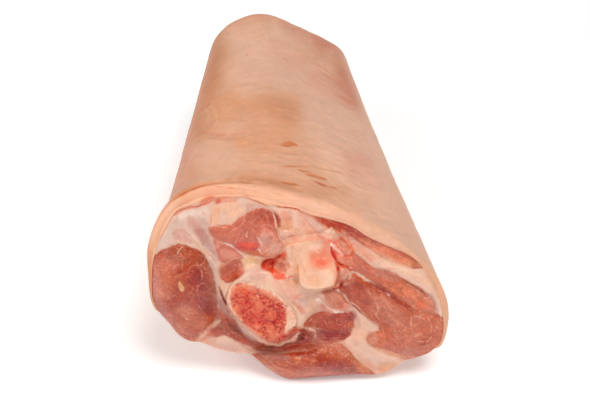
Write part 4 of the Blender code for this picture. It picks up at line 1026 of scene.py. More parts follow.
    ("line", "pale", 0.5, 0.7, 0.2, [313.5, 332, 315, 335, 314.5, 338.5]),
    # painted shade: deep and black-red patches in the hollow and the small hole beside it, over dips in the
    # relief
    ("patch", "deep", 0.75, 1.3, -0.5, [299, 331.5, 300.5, 329, 304, 329, 307, 331, 304.5, 333, 301.5,
     333]),
    ("patch", "deep", 0.85, 1.3, -0.8, [295.5, 341, 298, 337.5, 298.5, 334.5, 302.5, 334, 305, 336, 303.5,
     339, 300, 341.5]),
    ("patch", "black_red", 0.5, 1, -0.3, [299, 339, 301, 336.5, 303.5, 337.5, 301, 340]),
    ("patch", "flesh_dark", 0.6, 1.5, -0.2, [304, 334, 310, 334.5, 313, 338, 308, 341, 303, 341]),
    ("line", "fat_pink", 0.35, 0.6, 0.05, [322, 342, 330, 340.5, 340, 341], [316, 337, 321, 341, 327, 343]),
    ("patch", "flesh", 0.7, 2, 0, [256, 347, 276, 349.5, 300, 347.5, 322, 343, 330, 346, 318, 350, 300, 353,
     276, 354.5, 258, 353.5]),
    ("patch", "violet", 0.35, 3, 0, [250, 349, 266, 351, 284, 352, 290, 358, 276, 360, 260, 357]),
    # violet film and streaks below the bone, and painted shadow under its edge
    ("patch", "flesh", 0.95, 1.4, -0.2, [227, 311, 231, 315.5, 236, 320.5, 243, 327.5, 251, 335, 259, 341,
     267, 344.5, 276, 347, 284, 346, 284, 350, 268, 351, 254, 347.5, 242, 340, 232, 330, 224, 318]),
    ("patch", "mauve", 0.55, 1.8, -0.3, [226, 314, 231, 318, 240, 327, 250, 336, 261, 343.5, 274, 347, 270,
     349.5, 258, 345.5, 246, 338, 235, 329, 227, 321]),
    # painted shadow below the bone's lower left edge, over a dip in the relief
    ("patch", "deep", 0.5, 1.8, -0.5, [226, 316, 231, 319, 238, 326, 243, 333, 238, 332, 231, 326]),
    ("patch", "violet", 0.7, 1.4, 0.1, [238, 323.5, 244, 328.5, 251, 334.5, 256, 339.5, 251, 340, 244,
     334.5, 238, 328]),
    ("patch", "silver", 0.4, 1, 0.1, [241, 326, 247, 331, 253, 337, 249, 336.5, 243, 331]),
    ("line", "silver", 0.5, 0.8, 0.1, [236, 322, 244, 329.5, 252, 336.5, 258, 341]),
    # painted shadow under the bone's lower edge: a dark patch, and a deep red line below it
    ("patch", "flesh_dark", 0.5, 1.5, -0.2, [256, 342, 266, 345.5, 276, 348, 288, 346.5, 298, 344, 306, 341,
     300, 347, 286, 350, 268, 350]),
    ("line", "deep", 0.55, 1.1, -0.3, [270, 346, 278, 347, 287, 344.5, 297, 342.5, 306, 341.5]),
    ("line", "violet", 0.5, 0.8, 0.05, [234, 326, 243, 334, 252, 340.5]),
    ("patch", "grey_film", 0.45, 2, 0.1, [238, 342, 248, 346, 258, 349, 268, 351, 280, 351, 290, 350, 284,
     353, 270, 355, 258, 353, 246, 349]),
    ("line", "fat_pink", 0.4, 0.7, 0.05, [238, 344, 247, 349, 257, 353, 268, 357]),
    ("line", "fat_pink", 0.4, 0.6, 0.05, [244, 345, 254, 350, 266, 353]),
    ("line", "fat_pink", 0.35, 0.6, 0.05, [256, 347, 270, 349.5, 286, 349.5]),
    ("line", "flesh", 0.5, 0.8, -0.05, [241, 344.5, 251, 351, 262, 357]),
    ("line", "flesh", 0.4, 0.8, -0.05, [240, 347, 250, 354, 260, 361]),
    # round muscle's lower end, and the pale flap
    ("patch", "flesh", 0.9, 2, 0.1, [214, 309, 221, 308, 228, 316, 236, 322, 232, 324, 224, 321, 215, 322,
     211, 330, 205, 330, 208, 318]),
    ("patch", "flesh_orange", 0.4, 2, 0, [216, 312, 223, 312, 229, 318, 222, 319]),
    ("patch", "mauve", 0.7, 2, -0.1, [213, 327, 224, 322, 234, 325, 241, 333, 240, 338, 230, 333, 220, 336,
     211, 337, 206, 336]),
    ("patch", "rose", 0.5, 2, 0.1, [207, 334, 215, 329, 222, 331, 218, 336, 210, 338.5]),
    ("line", "white", 0.5, 0.6, 0.08, [227, 333, 230, 335]),
    ("line", "fat_pink", 0.4, 0.6, 0.04, [230, 331, 236, 334]),
    ("patch", "fat_pink", 0.7, 2.4, 0.3, [195, 338, 200, 333.5, 206, 329, 211, 324.5, 218, 321.5, 219, 324,
     212, 328, 209, 332, 206, 335.5, 199, 337.5]),
    ("patch", "flesh_light", 0.6, 1.5, 0.1, [188, 337, 198, 338, 206, 337, 212, 338, 204, 341.5, 194, 341]),
    ("patch", "pale", 0.85, 1.6, 0.4, [202, 342, 211, 339.5, 220, 336.5, 227, 336, 233, 340, 240, 345.5,
     247, 351, 241, 354, 226, 352, 216, 349, 206, 345]),
    ("patch", "white", 0.4, 2, 0.2, [218, 340, 227, 339, 233, 344, 228, 348, 219, 345]),
    ("line", "tan", 0.7, 0.6, -0.08, [204, 342.5, 208, 342.5, 212, 341.5]),
    ("line", "tan", 0.6, 0.5, -0.08, [220.5, 346.5, 223, 347.5]),
    ("line", "tan", 0.4, 0.5, -0.08, [231, 348, 236, 350]),
    ("patch", "salmon", 0.5, 1.2, 0, [205, 341, 213, 340, 216, 343, 210, 344.5]),
    ("patch", "grey_film", 0.3, 3, 0, [206, 343, 220, 341, 232, 345, 238, 351, 222, 351, 212, 347]),
    ("patch", "tan", 0.4, 1.5, 0, [196, 341, 204, 341.5, 212, 343, 206, 344.5, 198, 343]),
    ("line", "flesh_light", 0.5, 0.8, 0, [214, 344.5, 222, 346.5, 230, 349.5]),
    ("line", "tan", 0.45, 0.7, 0, [208, 342, 214, 344.5, 221, 345.5]),
    ("line", "tan", 0.4, 0.7, 0, [224, 341, 230, 344.5, 236, 349]),
    # round muscle
    ("patch", "flesh_dark", 0.4, 4, -0.1, [188, 270, 198, 266, 205, 272, 206, 282, 198, 286, 190, 280]),
    ("patch", "mauve", 0.4, 4, -0.1, [201, 258, 207, 260, 212, 272, 215, 286, 218, 300, 213, 300, 209, 288,
     205, 274]),
    ("patch", "flesh_dark", 0.6, 2.5, -0.2, [201, 299, 211, 298, 217, 304, 215, 310, 206, 311, 199, 306]),
    ("patch", "flesh_dark", 0.35, 4, 0, [166, 298, 180, 297, 192, 300, 186, 307, 172, 306]),
    ("patch", "flesh_dark", 0.5, 1.5, -0.1, [200, 286, 204, 285, 205, 292, 201, 294]),
    ("patch", "flesh_light", 0.5, 5, 0, [153, 262, 162, 258, 166, 270, 164, 286, 158, 300, 152, 290]),
    ("patch", "flesh_light", 0.45, 4, 0.1, [180, 322, 192, 318, 204, 322, 206, 328, 196, 334, 186, 334]),
    ("patch", "flesh_orange", 0.55, 2, 0, [160, 316, 170, 322, 178, 332, 188, 338.5, 198, 341.5, 188, 341,
     174, 334, 162, 322]),
    ("patch", "flesh_orange", 0.3, 4, 0, [174, 306, 190, 308, 200, 312, 190, 318, 176, 314]),
    ("line", "fat_pink", 0.4, 0.6, 0.04, [181, 247, 185.5, 247], [176, 256, 173, 259, 172, 263]),
    ("line", "fat_pink", 0.6, 0.7, 0.08, [204.5, 255, 204.5, 260.5, 201.5, 264.5, 199, 266, 197, 263.5,
     197.5, 260]),
    ("line", "fat_pink", 0.6, 0.6, 0.04, [203, 266, 206, 269.5, 208.5, 267]),
    ("line", "fat_pink", 0.4, 0.6, 0.04, [187, 271.5, 190, 268, 193.5, 265.5, 197, 264.5], [176.5, 279, 180,
     276, 184, 273.5, 188, 270.5]),
    ("line", "fat_pink", 0.5, 0.6, 0.04, [161, 272, 165, 275, 169, 276, 172.5, 278]),
    ("line", "fat_pink", 0.4, 0.6, 0.04, [172, 269, 174, 266, 178, 264]),
    ("line", "fat_pink", 0.45, 0.6, 0.04, [156, 286, 160, 291.5, 165, 294.5]),
    ("line", "fat_pink", 0.5, 0.7, 0.04, [171, 297.5, 174, 296, 177, 294]),
    ("line", "fat_pink", 0.5, 0.6, 0.04, [201.5, 269, 202.5, 275, 200.5, 281], [197, 293, 199.5, 296.5, 199,
     299]),
    ("line", "fat_pink", 0.4, 0.5, 0.04, [206, 275, 209.5, 274], [160, 276, 155.5, 275, 154.5, 272]),
    ("line", "fat_pink", 0.35, 0.5, 0.04, [162, 295, 167, 297.5, 169, 301]),
    ("line", "fat_pink", 0.4, 0.6, 0.04, [184, 313, 187, 318, 192, 320]),
    ("line", "fat_pink", 0.45, 0.6, 0.04, [179, 322, 180, 328, 184.5, 332, 190.5, 335]),
    ("line", "fat_pink", 0.3, 0.5, 0.04, [195, 312, 198, 314], [170, 307, 175, 310, 180, 309], [182, 259,
     183, 265, 181, 270], [165, 279, 168, 284, 167, 289], [186, 291, 190, 296, 191, 302]),
    ("patch", "tendon", 0.85, 0.9, 0.4, [178, 284, 180, 281.5, 182, 285, 184, 289, 182.5, 292, 180, 290]),
    ("line", "flesh_dark", 0.6, 0.8, -0.08, [179.5, 278, 178, 281.5]),
    ("line", "coral", 0.4, 0.8, 0, [171, 262, 174, 267, 172, 272]),
    ("patch", "mauve", 0.3, 4, 0, [166, 250, 180, 245, 196, 249, 206, 258, 206, 268, 192, 264, 176, 262,
     164, 260]),
    ("patch", "rose", 0.3, 5, 0, [152, 262, 160, 256, 168, 262, 166, 280, 158, 292, 151, 284]),
    ("patch", "flesh_dark", 0.3, 3, -0.1, [196, 286, 206, 286, 212, 296, 206, 302, 198, 298]),
    ("line", "pale", 0.6, 0.8, 0.1, [184, 246, 180.5, 249, 178.5, 252.5, 176.5, 255.5]),
    ("line", "fat_pink", 0.4, 0.6, 0.05, [184.5, 246.5, 188, 247.5]),
    ("line", "pale", 0.65, 0.8, 0.1, [204.5, 283, 201, 283.5, 198.5, 286.5, 197.5, 290, 196.5, 293]),
    ("line", "fat_pink", 0.4, 0.6, 0.05, [196.5, 293, 193.5, 295]),
    ("line", "fat_pink", 0.35, 0.6, 0.05, [196.5, 293, 198.5, 297, 199, 300]),
    ("line", "fat_pink", 0.6, 0.7, 0.1, [204, 299.5, 208, 299.5, 211, 297]),
    ("line", "fat_pink", 0.5, 0.7, 0.05, [199, 304, 200, 307, 202, 309.5]),
    ("line", "fat_pink", 0.4, 0.6, 0.05, [201, 269, 202, 275, 200.5, 282]),
    ("line", "fat_pink", 0.35, 0.6, 0.05, [178, 256, 174.5, 261, 175, 268], [184, 272, 178, 276, 174, 279],
     [158, 285, 160.5, 291, 166, 295, 171, 299]),
    ("line", "fat_pink", 0.3, 0.6, 0.05, [163, 303, 170, 308, 176, 313]),
    ("patch", "coral", 0.3, 1.5, 0, [168, 314, 173, 315, 175, 318, 171, 319]),
    ("patch", "flesh_orange", 0.4, 2.5, 0, [196, 320, 206, 314, 212, 318, 208, 326, 200, 330]),
    ("line", "pale", 0.45, 0.9, 0.05, [185, 318, 189, 319.5]),
    ("line", "tan", 0.5, 0.9, 0.05, [179.5, 323.5, 180, 328, 184, 332.5, 190, 335]),
    ("line", "fat_pink", 0.35, 0.7, 0.05, [188, 333, 196, 335, 203, 332]),
    ("patch", "flesh_dark", 0.45, 3, -0.1, [190, 274, 197, 270, 203, 276, 202, 286, 194, 288, 188, 282]),
    ("patch", "mauve", 0.35, 3, 0, [204, 288, 211, 290, 214, 302, 208, 310, 202, 302]),
    ("patch", "fat_pink", 0.22, 4, 0, [160, 262, 172, 256, 184, 258, 180, 268, 168, 272]),
    ("patch", "fat_pink", 0.2, 4, 0, [158, 282, 168, 284, 172, 296, 164, 300, 156, 292]),
    ("patch", "fat_pink", 0.22, 3, 0, [176, 306, 190, 304, 196, 312, 186, 318, 176, 314]),
    ("patch", "flesh_light", 0.35, 3, 0, [170, 320, 182, 324, 190, 334, 180, 334, 170, 328]),
    ("patch", "flesh_light", 0.35, 5, 0, [154, 270, 166, 262, 176, 270, 178, 284, 168, 294, 158, 292]),
    ("patch", "flesh_dark", 0.3, 4, 0, [194, 290, 206, 292, 212, 302, 206, 312, 196, 310, 190, 300]),
    # film between the round muscle and the bone
    ("patch", "violet", 0.6, 2.6, 0, [209, 262, 213, 264, 217, 272, 219, 284, 223, 297, 228, 309, 233, 318,
     229, 318, 222, 310, 216, 300, 213, 284, 210, 272]),
    ("patch", "silver", 0.45, 1.5, 0.2, [213, 262, 218, 270, 219.5, 282, 217, 284, 214, 272]),
    ("line", "silver", 0.5, 0.7, 0.08, [212, 268, 216, 283, 220, 298, 226, 310]),
    ("line", "tan", 0.6, 0.8, 0.08, [217, 284, 220, 294, 223.5, 303]),
    ("line", "fat_pink", 0.5, 0.6, 0.08, [214, 308, 218, 308.5, 222, 312, 226, 316]),
    ("patch", "grey_film", 0.6, 1, 0.1, [221, 303, 226, 304, 229, 312, 233, 318, 229, 316, 224, 311]),
    ("patch", "silver", 0.35, 2.5, 0.1, [212, 264, 217, 270, 219, 284, 216, 280]),
    ("line", "mauve", 0.35, 0.7, -0.05, [214, 280, 217, 292, 221, 303]),
    ("patch", "mauve", 0.45, 2, -0.1, [216, 300, 222, 301, 227, 309, 232, 317, 226, 316, 219, 308]),
    # lower muscle
    ("patch", "flesh_light", 0.55, 3, 0.1, [314, 346, 326, 343, 340, 342, 348, 347, 354, 357, 344, 360, 330,
     357, 318, 352]),
    ("patch", "fat_pink", 0.35, 2.5, 0.1, [322, 345, 334, 342.5, 344, 343, 350, 350, 346, 356, 336, 350]),
    ("patch", "flesh_dark", 0.35, 4.5, 0, [320, 362, 336, 359, 350, 364, 352, 371, 340, 374, 322, 371]),
    ("patch", "flesh_orange", 0.6, 3, 0, [276, 366, 296, 370, 318, 371, 336, 372.5, 346, 375, 318, 378, 290,
     378, 278, 374]),
    ("patch", "tan", 0.35, 3, 0, [262, 360, 272, 366, 280, 373, 276, 375, 266, 367]),
    ("patch", "mauve", 0.3, 3.5, 0, [262, 352, 278, 353, 290, 356, 284, 361, 270, 359]),
    ("patch", "violet", 0.45, 3, 0, [258, 352, 272, 353, 286, 356, 292, 360, 280, 362, 264, 359]),
    ("patch", "flesh_dark", 0.25, 3, 0, [286, 352, 304, 351, 314, 354, 304, 358, 290, 357]),
    ("patch", "flesh_dark", 0.35, 4, 0, [288, 363, 304, 361, 320, 363, 332, 362, 346, 362, 350, 368, 336,
     372, 312, 372, 294, 370]),
    ("patch", "mauve", 0.25, 4, 0, [262, 354, 276, 356, 284, 364, 280, 372, 270, 366]),
    ("patch", "tan", 0.5, 2, 0.1, [294, 357.5, 299, 357, 300, 363, 296, 364]),
    ("patch", "flesh_light", 0.3, 3, 0, [288, 358, 298, 357, 306, 361, 302, 366, 290, 364]),
    ("patch", "rose", 0.3, 3, 0, [300, 358, 312, 357, 318, 362, 310, 366, 300, 364]),
    ("patch", "tan", 0.4, 3, 0, [350, 354, 360, 360, 372, 370, 366, 374, 356, 368]),
    ("line", "flesh_dark", 0.3, 0.8, -0.05, [276, 365, 290, 367, 306, 366.5], [282, 370, 298, 372, 316,
     371]),
    ("line", "fat_pink", 0.35, 0.7, 0.05, [262, 356, 270, 362, 280, 368, 292, 371.5]),
    ("line", "fat_pink", 0.3, 0.7, 0.05, [270, 357, 278, 363, 290, 366.5]),
    ("line", "fat_pink", 0.35, 0.7, 0.05, [284, 358, 288, 362, 294, 364.5], [287, 362, 292, 365.5]),
    ("line", "pale", 0.5, 0.8, 0.05, [349, 345, 350.5, 349.5, 348, 354, 342, 358]),
    ("line", "fat_pink", 0.35, 0.7, 0.05, [322, 344.5, 326, 349, 325, 354], [334, 343.5, 338, 348, 337,
     354]),
    ("line", "fat_pink", 0.3, 0.6, 0.05, [319, 350, 328, 352, 336, 357]),
    ("line", "fat_pink", 0.35, 0.6, 0.05, [342, 360, 346, 366, 350, 371]),
    ("line", "fat_pink", 0.3, 0.6, 0.05, [300, 368, 312, 367, 324, 369], [311, 353, 314, 358, 311, 363],
     [352, 360, 358, 366, 364, 372]),
    ("line", "flesh_light", 0.4, 1, 0.05, [262, 359, 269, 366, 279, 373]),
    ("line", "flesh_dark", 0.4, 1.1, 0, [286, 378, 310, 377.2, 330, 376, 350, 375, 372, 374]),
    # bone: rim, spongy middle, cracks and side
    ("patch", "cream", 0.9, 1.2, 0.4, [224.5, 298, 226, 289, 231, 283, 238, 279.5, 248, 281, 260, 284, 272,
     289, 282, 297, 291, 303, 298, 311, 300.5, 320, 297, 329, 290, 335, 283, 340.5, 277, 344.5, 267, 342.5,
     256, 336.5, 246, 328.5, 238, 320, 230.5, 310]),
    ("patch", "marrow_pale", 0.9, 1.6, -0.1, [231, 297, 232, 288, 237, 283.5, 246, 284.5, 258, 287.5, 270,
     293, 280, 300, 287, 308, 289, 317, 286, 326, 284, 333, 281, 341, 275, 343.3, 268, 341.5, 258, 336, 248,
     328, 240, 320.5, 233, 310.5]),
    ("patch", "flesh_orange", 0.3, 1.5, 0, [232, 300, 234, 300, 239, 314, 249, 325, 260, 334, 270, 340.5,
     268, 341, 257, 335.5, 247, 327, 238.5, 317.5, 233, 309]),
    ("patch", "marrow", 0.75, 2.5, -0.3, [235, 297, 236.5, 290, 241, 287.5, 250, 290, 262, 293, 272, 299,
     280, 306, 284.5, 313, 283, 322, 279, 330, 274, 337, 265, 335, 256, 328.5, 247, 321, 240, 313, 236,
     305]),
    ("patch", "marrow_red", 0.3, 3, 0, [238, 298, 244, 300, 250, 308, 262, 314, 272, 318, 276, 323, 268,
     324, 256, 323, 247, 316, 240, 308]),
    ("patch", "scarlet", 0.4, 2, 0, [234, 290, 238, 287, 246, 289, 250, 293, 244, 295, 237, 295]),
    ("patch", "marrow_red", 0.45, 2.2, -0.2, [270, 306, 278, 304.5, 286, 309, 287, 318, 281, 322, 275,
     317]),
    ("patch", "marrow_red", 0.4, 2.2, -0.1, [240, 297, 246, 297, 252, 302, 250, 306, 243, 305]),
    ("patch", "marrow_red", 0.35, 2, -0.1, [250, 317, 258, 319, 268, 319, 276, 321, 270, 324.5, 258, 324,
     251, 321]),
    ("patch", "marrow_pale", 0.5, 2, 0.1, [252, 298, 258, 296, 266, 299, 274, 304, 272, 309, 262, 311, 254,
     306]),
    ("patch", "marrow_pale", 0.55, 2, 0.1, [250, 325.5, 262, 325.5, 272, 328, 274, 334, 268, 338.5, 258,
     333]),
    ("patch", "marrow_pale", 0.5, 1.5, 0.1, [277, 322, 282, 322, 284, 328, 281, 334, 277.5, 328]),
    ("patch", "cream", 0.8, 1.5, 0.2, [286.5, 311, 292, 305, 297, 312, 299, 321, 295, 328, 287, 333, 284.5,
     329, 287, 320]),
    ("patch", "fat_pink", 0.45, 1.8, 0, [288, 312, 293, 310, 296, 317, 292, 324]),
    ("line", "coral", 0.5, 0.8, 0, [291, 311, 295, 315, 297, 320]),
    ("patch", "flesh_orange", 0.7, 1.6, 0, [268, 340.5, 276, 336.5, 284, 333, 291, 328, 297, 325.5, 299,
     328.5, 292, 334, 285, 340, 277, 344.5]),
    ("patch", "scarlet", 0.35, 1.6, -0.1, [282, 338, 290, 331.5, 297, 327, 298, 330, 292, 335.5, 285, 342]),
    ("patch", "blood", 0.6, 1.1, -0.4, [285, 342, 288.5, 336.5, 293, 332, 297, 328.5, 300, 329.5, 296, 334,
     291, 339]),
    ("line", "blood", 0.7, 1, -0.35, [284.5, 340.5, 288, 336, 292.5, 332, 297, 328.5]),
    ("line", "deep", 0.6, 0.9, -0.3, [288, 340, 291.5, 336.5, 295, 334, 297.5, 331]),
    ("line", "fat_pink", 0.7, 0.9, 0.2, [289, 341.5, 293, 339, 295.5, 337]),
    ("patch", "fat_pink", 0.7, 1, 0.3, [292.5, 341.5, 294, 338.5, 297, 337.5, 297, 340.5]),
    ("line", "deep", 0.8, 0.9, -0.4, [279.5, 313, 278.5, 316.5, 276.5, 319.5, 273.5, 322, 275, 326, 276,
     330.5, 276.5, 334.5]),
    ("line", "blood", 0.5, 1.3, -0.2, [277.5, 317, 274, 321.5, 270, 322]),
    ("line", "deep", 0.5, 0.7, -0.2, [266, 321.5, 270, 321.5, 274, 322]),
    ("line", "blood", 0.6, 0.8, -0.2, [254, 307.5, 256, 310.5, 258.5, 312.5]),
    ("line", "blood", 0.5, 0.8, -0.15, [242, 304.5, 246, 303, 250, 304.5, 252, 302], [246, 317.5, 249,
     320.5, 253, 323, 257, 324]),
    ("line", "marrow_red", 0.6, 0.8, -0.1, [236, 288, 236, 291.5], [238, 292, 243, 293]),
    ("line", "blood", 0.45, 0.8, -0.15, [254, 292, 260, 293.5, 267, 297]),
    ("line", "marrow_red", 0.6, 0.7, -0.1, [283, 330, 286, 324, 287, 319]),
    # painted highlights: two white marks where the wet bone glints
    ("line", "white", 0.85, 0.8, 0.2, [281.5, 305, 284, 306, 286, 309]),
    ("line", "white", 0.6, 0.7, 0.15, [256.5, 294, 259.5, 296.5]),
    ("line", "pale", 0.9, 0.9, 0.25, [230, 309.5, 234, 315.5, 240, 322, 248, 329.5, 256, 336, 263, 341, 271,
     344.3, 277, 345.3, 281.5, 343]),
    ("line", "cream", 0.4, 0.8, 0.1, [233, 309, 238, 316.5, 246, 325, 255, 332.5, 264, 338.5]),
    # painted shade: a deep red line in the crevice at the bone's lower left rim
    ("line", "deep", 0.55, 0.9, -0.2, [231.5, 314, 234.5, 318.5, 238.5, 322.5]),
    # crevices beside the bone: grooves, darkened with painted shade
    ("line", "flesh_dark", 0.8, 1.6, -0.8, [219, 286, 221.5, 293, 224, 300, 226, 305.5]),
    ("line", "deep", 0.6, 1, -0.5, [221.3, 291, 223, 297, 225, 303]),
    ("line", "rust", 0.4, 0.9, -0.1, [219.5, 290, 221.5, 297, 224, 304]),
    ("line", "flesh_dark", 0.5, 1, -0.2, [224.5, 305, 229, 313, 234, 320, 240, 326]),
    # small painted highlights, white specks where the wet surface glints, and grains
    ("line", "white", 0.5, 0.5, 0.1, [271, 232, 273, 235]),
    ("line", "white", 0.45, 0.5, 0.1, [228, 236, 231, 237]),
    ("line", "white", 0.4, 0.5, 0.1, [190, 262, 191, 264], [356, 300, 357.5, 302], [386, 312, 388, 313]),
    ("line", "white", 0.45, 0.5, 0.1, [419, 310, 421, 312]),
    ("line", "white", 0.4, 0.5, 0.1, [298, 358, 300, 360], [330, 352, 332, 353]),
    # pinker small muscle, warm torn tissue, duller flap and low fat, pale left edge
    ("patch", "rose", 0.5, 3, 0, [221, 266, 230, 260, 240, 262.5, 243, 269, 239, 277, 229, 281, 220, 276]),
    ("patch", "fat_pink", 0.3, 2, 0, [238, 262, 243, 264, 243, 271, 239, 275]),
    ("patch", "coral", 0.35, 3, 0, [334, 244, 342, 243, 350, 250, 352, 262, 344, 266, 337, 258]),
    ("patch", "salmon", 0.4, 3, 0, [342, 268, 351, 268, 356, 275, 352, 284, 343, 283, 338, 276]),
    ("patch", "salmon", 0.35, 2.5, 0, [276, 262, 283, 261, 287, 267, 284, 273, 278, 271]),
    ("patch", "silver", 0.4, 4, 0, LOW_FLAP),
    ("patch", "silver", 0.3, 4, 0, LOW_FAT),
    ("patch", "cream", 0.45, 4, 0, LEFT_EDGE),
    ("patch", "grey_film", 0.4, 4, 0, LOW_FLAP),
    ("patch", "grey_film", 0.2, 4, 0, LOW_FAT),
]

# Fat that is as high as the bone and the cap it meets: its height, its softness in pixels, and its outline
COLLARS = [
    (6.2, 7, [
        (236, 276), (258, 268), (284, 271), (302, 280), (322, 288), (328, 296), (316, 308), (308, 320),
        (298, 330), (262, 322), (236, 300),
    ]),
    (7.2, 4.5, [
        (283, 246), (292, 241), (304, 239), (328, 237), (342, 246), (346, 262), (341, 276), (300, 277),
        (287, 275), (286, 262),
    ]),
]
# Torn tissue in small lumps: their size in pixels, how far they swell, and where they are
TORN = [
    (5.5, 0.35, [
        (325, 229), (334, 226.5), (345, 229), (351, 238), (354, 252), (353, 266), (350, 280), (341, 285),
        (338, 271), (333, 256), (329, 243),
    ]),
    (5.0, 0.3, [
        (263, 264), (270, 259), (282, 254), (290, 258), (296, 267), (294, 276), (283, 280), (272, 275),
        (265, 270),
    ]),
]
MESH_SIZE, FLECK_SIZE = 3.4, 2.4  # of the fine web and of the flecks in a muscle, in pixels
PORE_SIZE = (2.7, 2.2)  # across and down
TONE_BY_CHANNEL = np.array([0.8, 1.1, 1.2])  # mottling shows least in the red


def muscle_grain(homes, x, y, colour, meat, tone, rise):
    """Strands, blotches, webs of fat, flecks and pits of one muscle after another, as GRAIN has them."""
    for number, (name, (turn, stretch, web)) in enumerate(GRAIN.items()):
        here = homes == name
        seed = 110 + 10 * number
        # Strands lie along the grain; the webs of fat follow bent cells, and show only in places
        px, py, lean = x[here], y[here], meat[here]
        cos, sin = math.cos(math.radians(turn)), math.sin(math.radians(turn))
        along, across = (px * cos + py * sin) / stretch, py * cos - px * sin
        strand = fractal(along / 2.2, across / 1.3, seed, 2)
        blotch = clouds(along, across, 7, seed + 1)
        bend = 0.5 * clouds(px, py, 8, seed + 2)
        thread = walls(along / web + bend, across / web - bend, seed + 3, 0.01, 0.12)
        thread *= smooth_step(clouds(px, py, 12, seed + 4), 0.0, 0.4)
        mesh = walls(along / MESH_SIZE + bend, across / MESH_SIZE - bend, seed + 6, 0.02, 0.22)
        mesh *= smooth_step(clouds(px, py, 7, seed + 7), -0.2, 0.5)
        # A few cells hold a pale fleck, and a few others a dark pit
        dot, _, pick = cells(px / FLECK_SIZE, py / FLECK_SIZE, seed + 5)
        fleck = (pick > 0.78) * (1 - smooth_step(dot, 0.15, 0.4))
        pit = (pick < 0.12) * (1 - smooth_step(dot, 0.2, 0.5))
        tone[here] += lean * (0.26 * strand + 0.15 * blotch - 0.20 * pit)
        colour[here] = lay(colour[here], "fat_pink", (0.34 * thread + 0.20 * mesh + 0.28 * fleck) * lean)
        rise[here] += 0.10 * strand + 0.12 * thread + 0.06 * mesh + 0.10 * fleck


def bone_pores(here, x, y, colour, meat, rise):
    """Red pores and stains and pale crumbs in the spongy middle of the bone."""
    px, py, spongy = x[here], y[here], meat[here]
    bend = 0.4 * clouds(px, py, 4, 211)
    hole, _, pick = cells(px / PORE_SIZE[0] + bend, py / PORE_SIZE[1] - bend, 212)
    group = smooth_step(clouds(px, py, 8, 213), -0.45, 0.2)
    pore = (pick > 0.3) * (1 - smooth_step(hole, 0.2, 0.65)) * group * spongy
    crumb = clouds(px, py, 1.9, 214, 2)
    stain = smooth_step(clouds(px, py, 6, 215, 2), 0.0, 0.45) * 0.5 * spongy
    colour[here] = lay(colour[here], "marrow_red", np.clip(0.9 * pore + stain, 0, 0.95))
    colour[here] = lay(colour[here], "marrow_pale", np.clip(1.3 * crumb, 0, 1) * 0.6 * spongy)
    rise[here] += 0.22 * crumb * spongy - 0.5 * pore


def torn_lumps(points, colour, rise):
    """Small round lumps with red cracks between them, and a pale painted highlight on most of their tops."""
    x, y = points.T
    bend = 0.35 * clouds(x, y, 4, 220)
    for size, swell, shape in TORN:
        torn = patch_weight(points, shape, 2.0)
        near, wall, pick = cells(x / size + bend, y / size - bend, 221)
        crack = (1 - smooth_step(wall - near, 0.02, 0.28)) * torn
        # painted highlight: white laid on the top of most lumps
        top = (1 - smooth_step(near, 0.05, 0.4)) * (pick > 0.3) * torn
        colour[:] = lay(colour, "scarlet", 0.22 * crack)
        colour[:] = lay(colour, "white", 0.2 * top)
        rise += swell * torn * (np.sqrt(np.clip(1 - (near / 0.85) ** 2, 0, 1)) - 0.5 - 0.4 * crack)


def face_texture(points, colour):
    """Grain, threads of fat and pores over the drawn colours; gives the fine relief that goes with them."""
    x, y = points.T
    meat = smooth_step(1 - colour[:, 1] / colour[:, 0], 0.42, 0.72)  # 1 on red colours, 0 on pale ones
    tone = 0.07 * clouds(x, y, 2.2, 101, 2) + 0.06 * clouds(x, y, 9, 102)
    rise = 0.16 * clouds(x, y, 6, 103) + 0.08 * clouds(x, y, 2.2, 104, 2)
    homes = owners(points)
    muscle_grain(homes, x, y, colour, meat, tone, rise)
    bone_pores(homes == "shank_bone", x, y, colour, meat, rise)
    torn_lumps(points, colour, rise)
    colour *= 1 + tone[:, None] * TONE_BY_CHANNEL
    return rise


EDGE_WIDTH = 12.0  # how far from its rim the face is rounded off, in pixels
BONE_SOFT, CAP_SOFT = 1.4, 1.8  # softness of their edges, in pixels
CAP_RISES = (246, 278)  # rows of the picture between which the cap comes up from the fat


def face_height(points):
    """Relief of the face, in millimetres towards the eye, at points of the picture."""
    on_plane = on_face(points) - FACE_MIDDLE
    u, w = on_plane[:, 0], on_plane[:, 2]
    height = np.zeros(len(points))
    for cu, cw, across, up, rise in FACE_RELIEF:
        height += rise * np.exp(-(((u - cu) / across) ** 2) - ((w - cw) / up) ** 2)
    for name, (swell, over) in DOMES.items():
        shape = spline(OUTLINES[name], 5 * len(OUTLINES[name]))
        held = inside(points, shape)
        d, _ = edge_distance(points[held], closed_run(shape))
        height[held] += swell * (1 - np.exp(-d / over * 2))
    for rise, soft, shape in COLLARS:
        height = mix(height, rise, patch_weight(points, shape, soft))
    bone_top = 7.0 + 0.10 * (u + 16) - 0.10 * (w + 14)
    height = mix(height, bone_top, patch_weight(points, OUTLINES["shank_bone"], BONE_SOFT))
    cap_top = 9.5 - 0.2 * (w - 9)
    cap = patch_weight(points, OUTLINES["knuckle_cap"], CAP_SOFT) * smooth_step(points[:, 1], *CAP_RISES)
    height = mix(height, cap_top, cap)
    rim, _ = edge_distance(points, closed_run(spline(FLESH_EDGE, RIM_POINTS)))
    outward = 1 - np.clip(rim / EDGE_WIDTH, 0, 1)
    covered = covered_by_rind(np.arctan2(w, u))
    edge = mix(np.sqrt(1 - outward**2), 1 - outward**2, covered)
    return height * edge + LIP * covered * outward


ROW_STEP = 0.866  # between the rows of a net of even triangles, in parts of its spacing
JITTER = 0.16  # how far a point of the net may be off its place, in parts of the spacing
CLEAR = 0.55  # how near the net comes to a drawn line, in parts of the spacing


